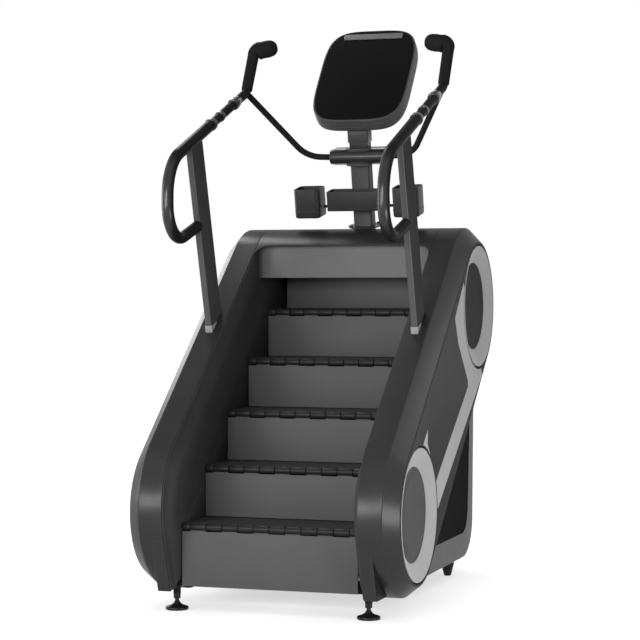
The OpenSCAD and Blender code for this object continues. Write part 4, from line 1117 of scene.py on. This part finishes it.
console = {"width": 0.410, "height": 0.541, "depth": 0.076, "bow": 4.2, "around": 176, "tilt": 39,
           "centre": (0.016, 0.660), "backRound": 0.016, "backSteps": 6, "frontSoft": 0.003,
           "edgeBand": 0.001, "bandsAt": (0.024, 0.040), "bandOut": 0.0016, "bandThick": 0.007,
           "bandSoft": 0.0006, "glass": 0.004, "bezel": 0.014, "glassSoft": 0.0016, "barWidth": 0.264,
           "barHeight": 0.028, "barThick": 0.007, "barDown": 0.044, "barRound": 0.005, "barSteps": 6,
           "barSoft": 0.003}


def consoleFrame(z):
    centre = mastFoot + Vector((0, *console["centre"]))
    return leaning(centre, 90 - console["tilt"]) @ Matrix.Translation((0, 0, z))


def bowedPlate(less, thick):                  # a slab with bowed sides, the console's size less a margin
    bm = bmesh.new()
    bmesh.ops.create_circle(bm, cap_ends=True, radius=1, segments=console["around"])
    width, height, power = console["width"] - less, console["height"] - less, 2 / console["bow"]
    for vert in bm.verts:
        x, y = vert.co.x, vert.co.y
        vert.co = (math.copysign(abs(x) ** power, x) * width / 2,
                   math.copysign(abs(y) ** power, y) * height / 2, 0)
    drawOut(bm, bm.faces[:], (0, 0, thick))
    bmesh.ops.recalc_face_normals(bm, faces=bm.faces)
    return bm


def makeConsole():
    near, glassThick, barThick = console["edgeBand"], console["glass"], console["barThick"]
    depth = console["depth"] - glassThick
    case = bowedPlate(0, depth)
    bevelSharp(case, console["backRound"], console["backSteps"], only=edgesBelow(near))
    bevelSharp(case, console["frontSoft"], 3, only=edgesAbove(depth - near))
    parts = [case]
    for z in console["bandsAt"]:
        band = bowedPlate(-console["bandOut"], console["bandThick"])
        bevelSharp(band, console["bandSoft"], 2)
        parts.append(moved(band, Matrix.Translation((0, 0, z))))
    whole = moved(joined(parts), consoleFrame(-console["depth"]))
    finishPiece("console.case", whole, "caseGrey", "chassis", ["console_case"])
    glass = bowedPlate(console["bezel"], glassThick)
    bevelSharp(glass, console["glassSoft"], 4, only=edgesAbove(glassThick - near))
    finishPiece("console.glass", moved(glass, consoleFrame(-glassThick)), "screenBlack", "chassis",
                ["console_glass"])
    strip = roundedPlate(console["barWidth"], console["barHeight"], console["barRound"], barThick,
                         console["barSteps"])
    bevelSharp(strip, console["barSoft"], 4, only=edgesAbove(barThick - near))
    moved(strip, consoleFrame(0) @ Matrix.Translation((0, console["height"] / 2 - console["barDown"], 0)))
    finishPiece("console.bar", strip, "barGrey", "chassis", ["console_bar"])


clamp = {"radius": 0.0315, "round": 0.006, "roundSteps": 6, "endShare": 0.55, "around": 72, "groove": 0.108,
         "grooveHalf": 0.0012, "grooveFloor": 0.0008, "grooveDeep": 0.0012,
         "saddle": (0.056, 0.030, 0.020), "saddleY": -0.008, "saddleUp": 0.002, "saddleCut": 0.006,
         "saddleSides": (40, 20), "plateWidth": 0.226, "plateDepth": 0.058, "plateThick": 0.004,
         "plateUp": 0.031, "plateIn": 0.004, "plateRound": 0.006, "plateSteps": 5,
         "plateSoft": 0.0008}


def makeClamp():
    half, radius, mid, soft = mast["clampHalf"], clamp["radius"], clamp["groove"], clamp["round"]
    deep = radius - clamp["grooveDeep"]
    profile = [(half, 0.0), (half, radius * clamp["endShare"])]
    profile += roundOff((half, radius - soft), (half, radius), (half - soft, radius), clamp["roundSteps"])
    profile += [(mid + clamp["grooveHalf"], radius), (mid + clamp["grooveFloor"], deep),
                (mid - clamp["grooveFloor"], deep), (mid - clamp["grooveHalf"], radius)]
    roll = lathe(profile + [(-x, r) for x, r in profile[::-1]], clamp["around"])
    around, rows = clamp["saddleSides"]
    saddles = []
    for up in (1, -1):
        saddle = bmesh.new()
        bmesh.ops.create_uvsphere(saddle, u_segments=around, v_segments=rows, radius=1)
        spot = (0, clamp["saddleY"], up * (radius + clamp["saddleUp"]))
        moved(saddle, Matrix.Translation(spot) @ Matrix.Diagonal((*clamp["saddle"], 1)))
        cutAway(saddle, allOf(saddle), (0, 0, up * (radius + clamp["saddleCut"])), (0, 0, up))
        saddles.append(saddle)
    plates = []
    for z in (clamp["plateUp"], -clamp["plateUp"] - clamp["plateThick"]):
        plate = roundedPlate(clamp["plateWidth"], clamp["plateDepth"], clamp["plateRound"],
                             clamp["plateThick"], clamp["plateSteps"])
        bevelSharp(plate, clamp["plateSoft"], 2)
        plates.append(moved(plate, Matrix.Translation((0, clamp["plateDepth"] / 2 - clamp["plateIn"], z))))
    place = leaning(mastFoot, mast["lean"]) @ Matrix.Translation((0, mast["clampIn"], mast["clampUp"]))
    finishPiece("clamp.roll", moved(roll, place), "clampGloss", "chassis", ["mast_clamp"])
    finishPiece("clamp.saddles", moved(joined(saddles), place), "mastGrey", "chassis")
    finishPiece("clamp.plates", moved(joined(plates), place), "paleTrim", "chassis")


makeConsole()
makeClamp()
print("console and clamp made")


# tray and cup holders

holder = {"trayWidth": 0.258, "trayDepth": 0.088, "trayHeight": 0.084, "trayUp": 0.087, "trayRound": 0.008,
          "trayGap": 0.0003, "cupWidth": 0.114, "cupHeight": 0.125, "cupGap": 0.032, "cupRound": 0.022,
          "cupIn": 0.049, "cupOver": 0.012, "wall": 0.0035, "floor": 0.004, "roundSteps": 8,
          "rimSoft": 0.0011, "heelShare": 0.45, "heelSteps": 5, "edgeBand": 0.001, "footBand": 0.0001,
          "bandOut": 0.0025, "bandRound": 0.001, "bandThick": 0.004, "bandUp": 0.028, "bandSoft": 0.001}


def openBox(width, depth, height, radius):    # a thin-walled box, open at the top
    bm = roundedPlate(width, depth, radius, height, holder["roundSteps"])
    top = max(bm.faces, key=heightOf)
    bmesh.ops.inset_region(bm, faces=[top], thickness=holder["wall"], use_even_offset=True)
    drawOut(bm, [top], (0, 0, holder["floor"] - height))
    bmesh.ops.delete(bm, geom=[top], context="FACES_ONLY")
    bevelSharp(bm, holder["rimSoft"], 3, only=edgesAbove(holder["floor"] + holder["edgeBand"]))
    bevelSharp(bm, radius * holder["heelShare"], holder["heelSteps"], only=edgesBelow(holder["footBand"]))
    return bm


def holderFrame(x, y, z):
    back = y - holder["trayDepth"] - holder["trayGap"]
    return leaning(mastFoot, mast["lean"]) @ Matrix.Translation((x, back, z + holder["trayUp"]))


def makeHolders():
    tray = openBox(holder["trayWidth"], holder["trayDepth"], holder["trayHeight"], holder["trayRound"])
    finishPiece("holder.tray", moved(tray, holderFrame(0, holder["trayDepth"] / 2, 0)), "holderBlack",
                "chassis", ["tray"])
    wide = holder["cupWidth"]
    bandWide, bandRound = wide + holder["bandOut"], holder["cupRound"] + holder["bandRound"]
    cupUp = holder["trayHeight"] - holder["cupHeight"] + holder["cupOver"]
    for label, sign in sides:
        cup = openBox(wide, wide, holder["cupHeight"], holder["cupRound"])
        band = roundedPlate(bandWide, bandWide, bandRound, holder["bandThick"], holder["roundSteps"])
        bevelSharp(band, holder["bandSoft"], 2)
        moved(band, Matrix.Translation((0, 0, holder["bandUp"])))
        x = sign * (holder["trayWidth"] / 2 + holder["cupGap"] + wide / 2)
        bm = moved(joined([cup, band]), holderFrame(x, holder["cupIn"], cupUp))
        finishPiece("holder.cup." + label, bm, "holderBlack", "chassis", ["cup_" + label])


makeHolders()
print("holders made")


# feet, in profile: up from the floor, then out from the pad's edge or the stem

foot = {"padRadius": 0.044, "stemRadius": 0.008, "sleeveRadius": 0.0135, "sleeveLow": 0.042,
        "sleeveHigh": 0.0595, "sole": 0.003, "padLow": ((0.0005, -0.002), (0.002, 0), (0.006, 0)),
        "padHigh": ((0.009, 0), (0.012, -0.001), (0.0135, -0.006)), "coneStart": (0.0165, -0.016),
        "coneEnd": ((0.021, 0.006), (0.032, 0.002)), "stemLow": 0.034,
        "sleeveSoft": ((0, -0.003), (0, 0), (0.003, 0)), "softSteps": 4, "coneSteps": 8, "around": 64}


def makeFeet():
    pad, stem, steps = foot["padRadius"], foot["stemRadius"], foot["softSteps"]
    coneUp, coneOut = foot["coneStart"]
    cone = [(coneUp, pad + coneOut)] + [(z, stem + r) for z, r in foot["coneEnd"]]
    profile = [(0.0, 0.0), (0.0, pad - foot["sole"])]
    profile += softAt(0.0, pad, foot["padLow"], steps) + softAt(0.0, pad, foot["padHigh"], steps)
    profile += roundOff(*cone, foot["coneSteps"]) + [(foot["stemLow"], stem), (foot["sleeveLow"], stem)]
    profile += softAt(foot["sleeveLow"], foot["sleeveRadius"], foot["sleeveSoft"], steps)
    profile += [(foot["sleeveHigh"], foot["sleeveRadius"]), (foot["sleeveHigh"], stem)]
    for label, _ in sides:
        low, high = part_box("front_foot_" + label)
        centre = (low + high) / 2
        bm = lathe(profile + [(high.z, stem), (high.z, 0.0)], foot["around"])
        moved(bm, Matrix.Rotation(-math.pi / 2, 4, "Y"))
        moved(bm, Matrix.Translation((centre.x, centre.y, 0)))
        finishPiece("foot." + label, bm, "rubber", "foot_" + label, ["front_foot_" + label])


makeFeet()
print("feet made")


# nodes that keep their CAD shape

kept = {"base_frame": "frameBlack", "side_frame_left": "frameBlack", "side_frame_right": "frameBlack",
        "bearings": "steel", "side_inlays": "paleTrim", "post_collars": "footPale", "mast": "mastGrey",
        "neck_sleeve": "mastGrey", "holder_rods": "frameBlack", "upper_shaft": "steel",
        "lower_shaft": "steel", "step_chains": "steel", "drive_pulley": "iron", "drive_belt": "rubber",
        "brake_rotor": "steel", "brake_housing": "alloy", "control_box": "holderBlack",
        "rear_feet": "rubber", "bolts": "frameBlack"}
softEdges = {"mast": 0.0015, "neck_sleeve": 0.002, "post_collars": 0.0008, "rear_feet": 0.002,
             "side_inlays": 0.0006}
nodeTidy = {"weld": 1e-5, "flatTurn": 0.8, "softSteps": 2, "softTurn": 32}


def dressNode(name, finish, width):           # a finish, and soft edges where a width is given
    node = nodes[name]
    node.data.materials.clear()
    node.data.materials.append(finishes[finish])
    for face in node.data.polygons:
        face.use_smooth = width > 0
    if width > 0:
        weld = node.modifiers.new("weld", "WELD")
        weld.merge_threshold = nodeTidy["weld"]
        flat = node.modifiers.new("flat", "DECIMATE")
        flat.decimate_type = "DISSOLVE"
        flat.angle_limit = math.radians(nodeTidy["flatTurn"])
        soft = addSoft(node, width, nodeTidy["softSteps"], nodeTidy["softTurn"])
        soft.harden_normals = True
        soft.use_clamp_overlap = True


for name, finish in kept.items():
    dressNode(name, finish, softEdges.get(name, 0.0))
print("kept nodes dressed:", len(kept))


# stage, light and camera

studio = {"cameraAt": (2.4966, -7.7488, 1.2211), "yaw": 17.964, "pitch": -0.908, "lens": 113.44,
          "sensor": 36, "skyLevel": 0.18, "floorHalf": 20, "floorGrey": 0.25, "floorRough": 0.9,
          "floorGlow": 0.96, "floorShade": 0.62, "shadeReach": 0.35}

# where each lamp stands, where it points, how large it is and its watts
lamps = {"frontSoft": ((-6.2, -11.2, 2.2), (0, 0, 1.1), (4.4, 4.0), 330),
         "frontHigh": ((0.0, -12.6, 3.1), (0, 0.4, 1.3), (3.9, 2.8), 600),
         "frontLow": ((-2.1, -6.8, 1.2), (0, 0, 0.9), (2.4, 1.4), 100),
         "leftSoft": ((-5.0, -0.5, 1.6), (0, 0.5, 1.0), (2.0, 2.4), 90),
         "backLeft": ((-3.2, 3.8, 2.3), (-0.4, 0.3, 1.2), (1.5, 2.0), 24),
         "backRight": ((2.9, 1.5, 2.75), (0.5, 0.0, 0.7), (1.0, 0.7), 7),
         "topLeft": ((-1.45, 1.6, 3.6), (-1.0, 1.1, 1.0), (0.45, 1.6), 30),
         "rightSoft": ((2.7, -1.6, 0.30), (0.5, -0.4, 0.4), (1.4, 0.8), 40)}


def seenDirectly(tree):                       # one for rays from the camera and mirrored or clear views
    ray = tree.nodes.new("ShaderNodeLightPath").outputs
    clear = mathNode(tree, "MAXIMUM", ray["Is Camera Ray"], ray["Is Transmission Ray"])
    return mathNode(tree, "MAXIMUM", clear, ray["Is Glossy Ray"])


def makeStage():                              # a floor that looks white; near the machine its glow darkens as a painted shadow, beside the real shadow in its diffuse part
    bm = bmesh.new()
    bmesh.ops.create_grid(bm, x_segments=1, y_segments=1, size=studio["floorHalf"])
    mesh = bpy.data.meshes.new("floor")
    bm.to_mesh(mesh)
    bm.free()
    floor = bpy.data.objects.new("floor", mesh)
    bpy.context.scene.collection.objects.link(floor)
    paint = bpy.data.materials.new("floorPaint")
    paint.use_nodes = True
    tree = paint.node_tree
    shader = tree.nodes["Principled BSDF"]
    shader.inputs["Base Color"].default_value = grey(studio["floorGrey"])
    shader.inputs["Roughness"].default_value = studio["floorRough"]
    glow = tree.nodes.new("ShaderNodeEmission")
    shade = tree.nodes.new("ShaderNodeAmbientOcclusion")
    shade.inputs["Distance"].default_value = studio["shadeReach"]
    # painted shadow: ambient occlusion dims the glow down to 0.62 close to the machine
    soft = rangeNode(tree, shade.outputs["AO"], 0.0, 1.0, studio["floorShade"], 1.0)
    tree.links.new(product(tree, seenDirectly(tree), studio["floorGlow"], soft), glow.inputs["Strength"])
    both = tree.nodes.new("ShaderNodeAddShader")
    tree.links.new(shader.outputs[0], both.inputs[0])
    tree.links.new(glow.outputs[0], both.inputs[1])
    tree.links.new(both.outputs[0], tree.nodes["Material Output"].inputs["Surface"])
    mesh.materials.append(paint)


def makeSky():                                # white to look at, but a weak light
    world = bpy.data.worlds.new("studio")
    world.use_nodes = True
    bpy.context.scene.world = world
    tree = world.node_tree
    back = tree.nodes["Background"]
    back.inputs["Color"].default_value = grey(1)
    level = rangeNode(tree, seenDirectly(tree), 0.0, 1.0, studio["skyLevel"], 1.0)
    tree.links.new(level, back.inputs["Strength"])


def makeLamp(name, place, aim, size, watts):
    data = bpy.data.lights.new(name, "AREA")
    data.shape = "RECTANGLE"
    data.size, data.size_y = size
    data.energy = watts
    lamp = bpy.data.objects.new(name, data)
    lamp.location = place
    lamp.rotation_euler = (Vector(aim) - Vector(place)).to_track_quat("-Z", "Y").to_euler()
    bpy.context.scene.collection.objects.link(lamp)


def makeCamera():
    data = bpy.data.cameras.new("photoCamera")
    data.lens = studio["lens"]
    data.sensor_width = studio["sensor"]
    camera = bpy.data.objects.new("photoCamera", data)
    camera.location = studio["cameraAt"]
    camera.rotation_euler = (math.radians(90 + studio["pitch"]), 0, math.radians(studio["yaw"]))
    bpy.context.scene.collection.objects.link(camera)
    bpy.context.scene.camera = camera


makeStage()
makeSky()
for name, settings in lamps.items():
    makeLamp(name, *settings)
makeCamera()
bpy.context.scene.view_settings.view_transform = "Standard"
print("stage made")
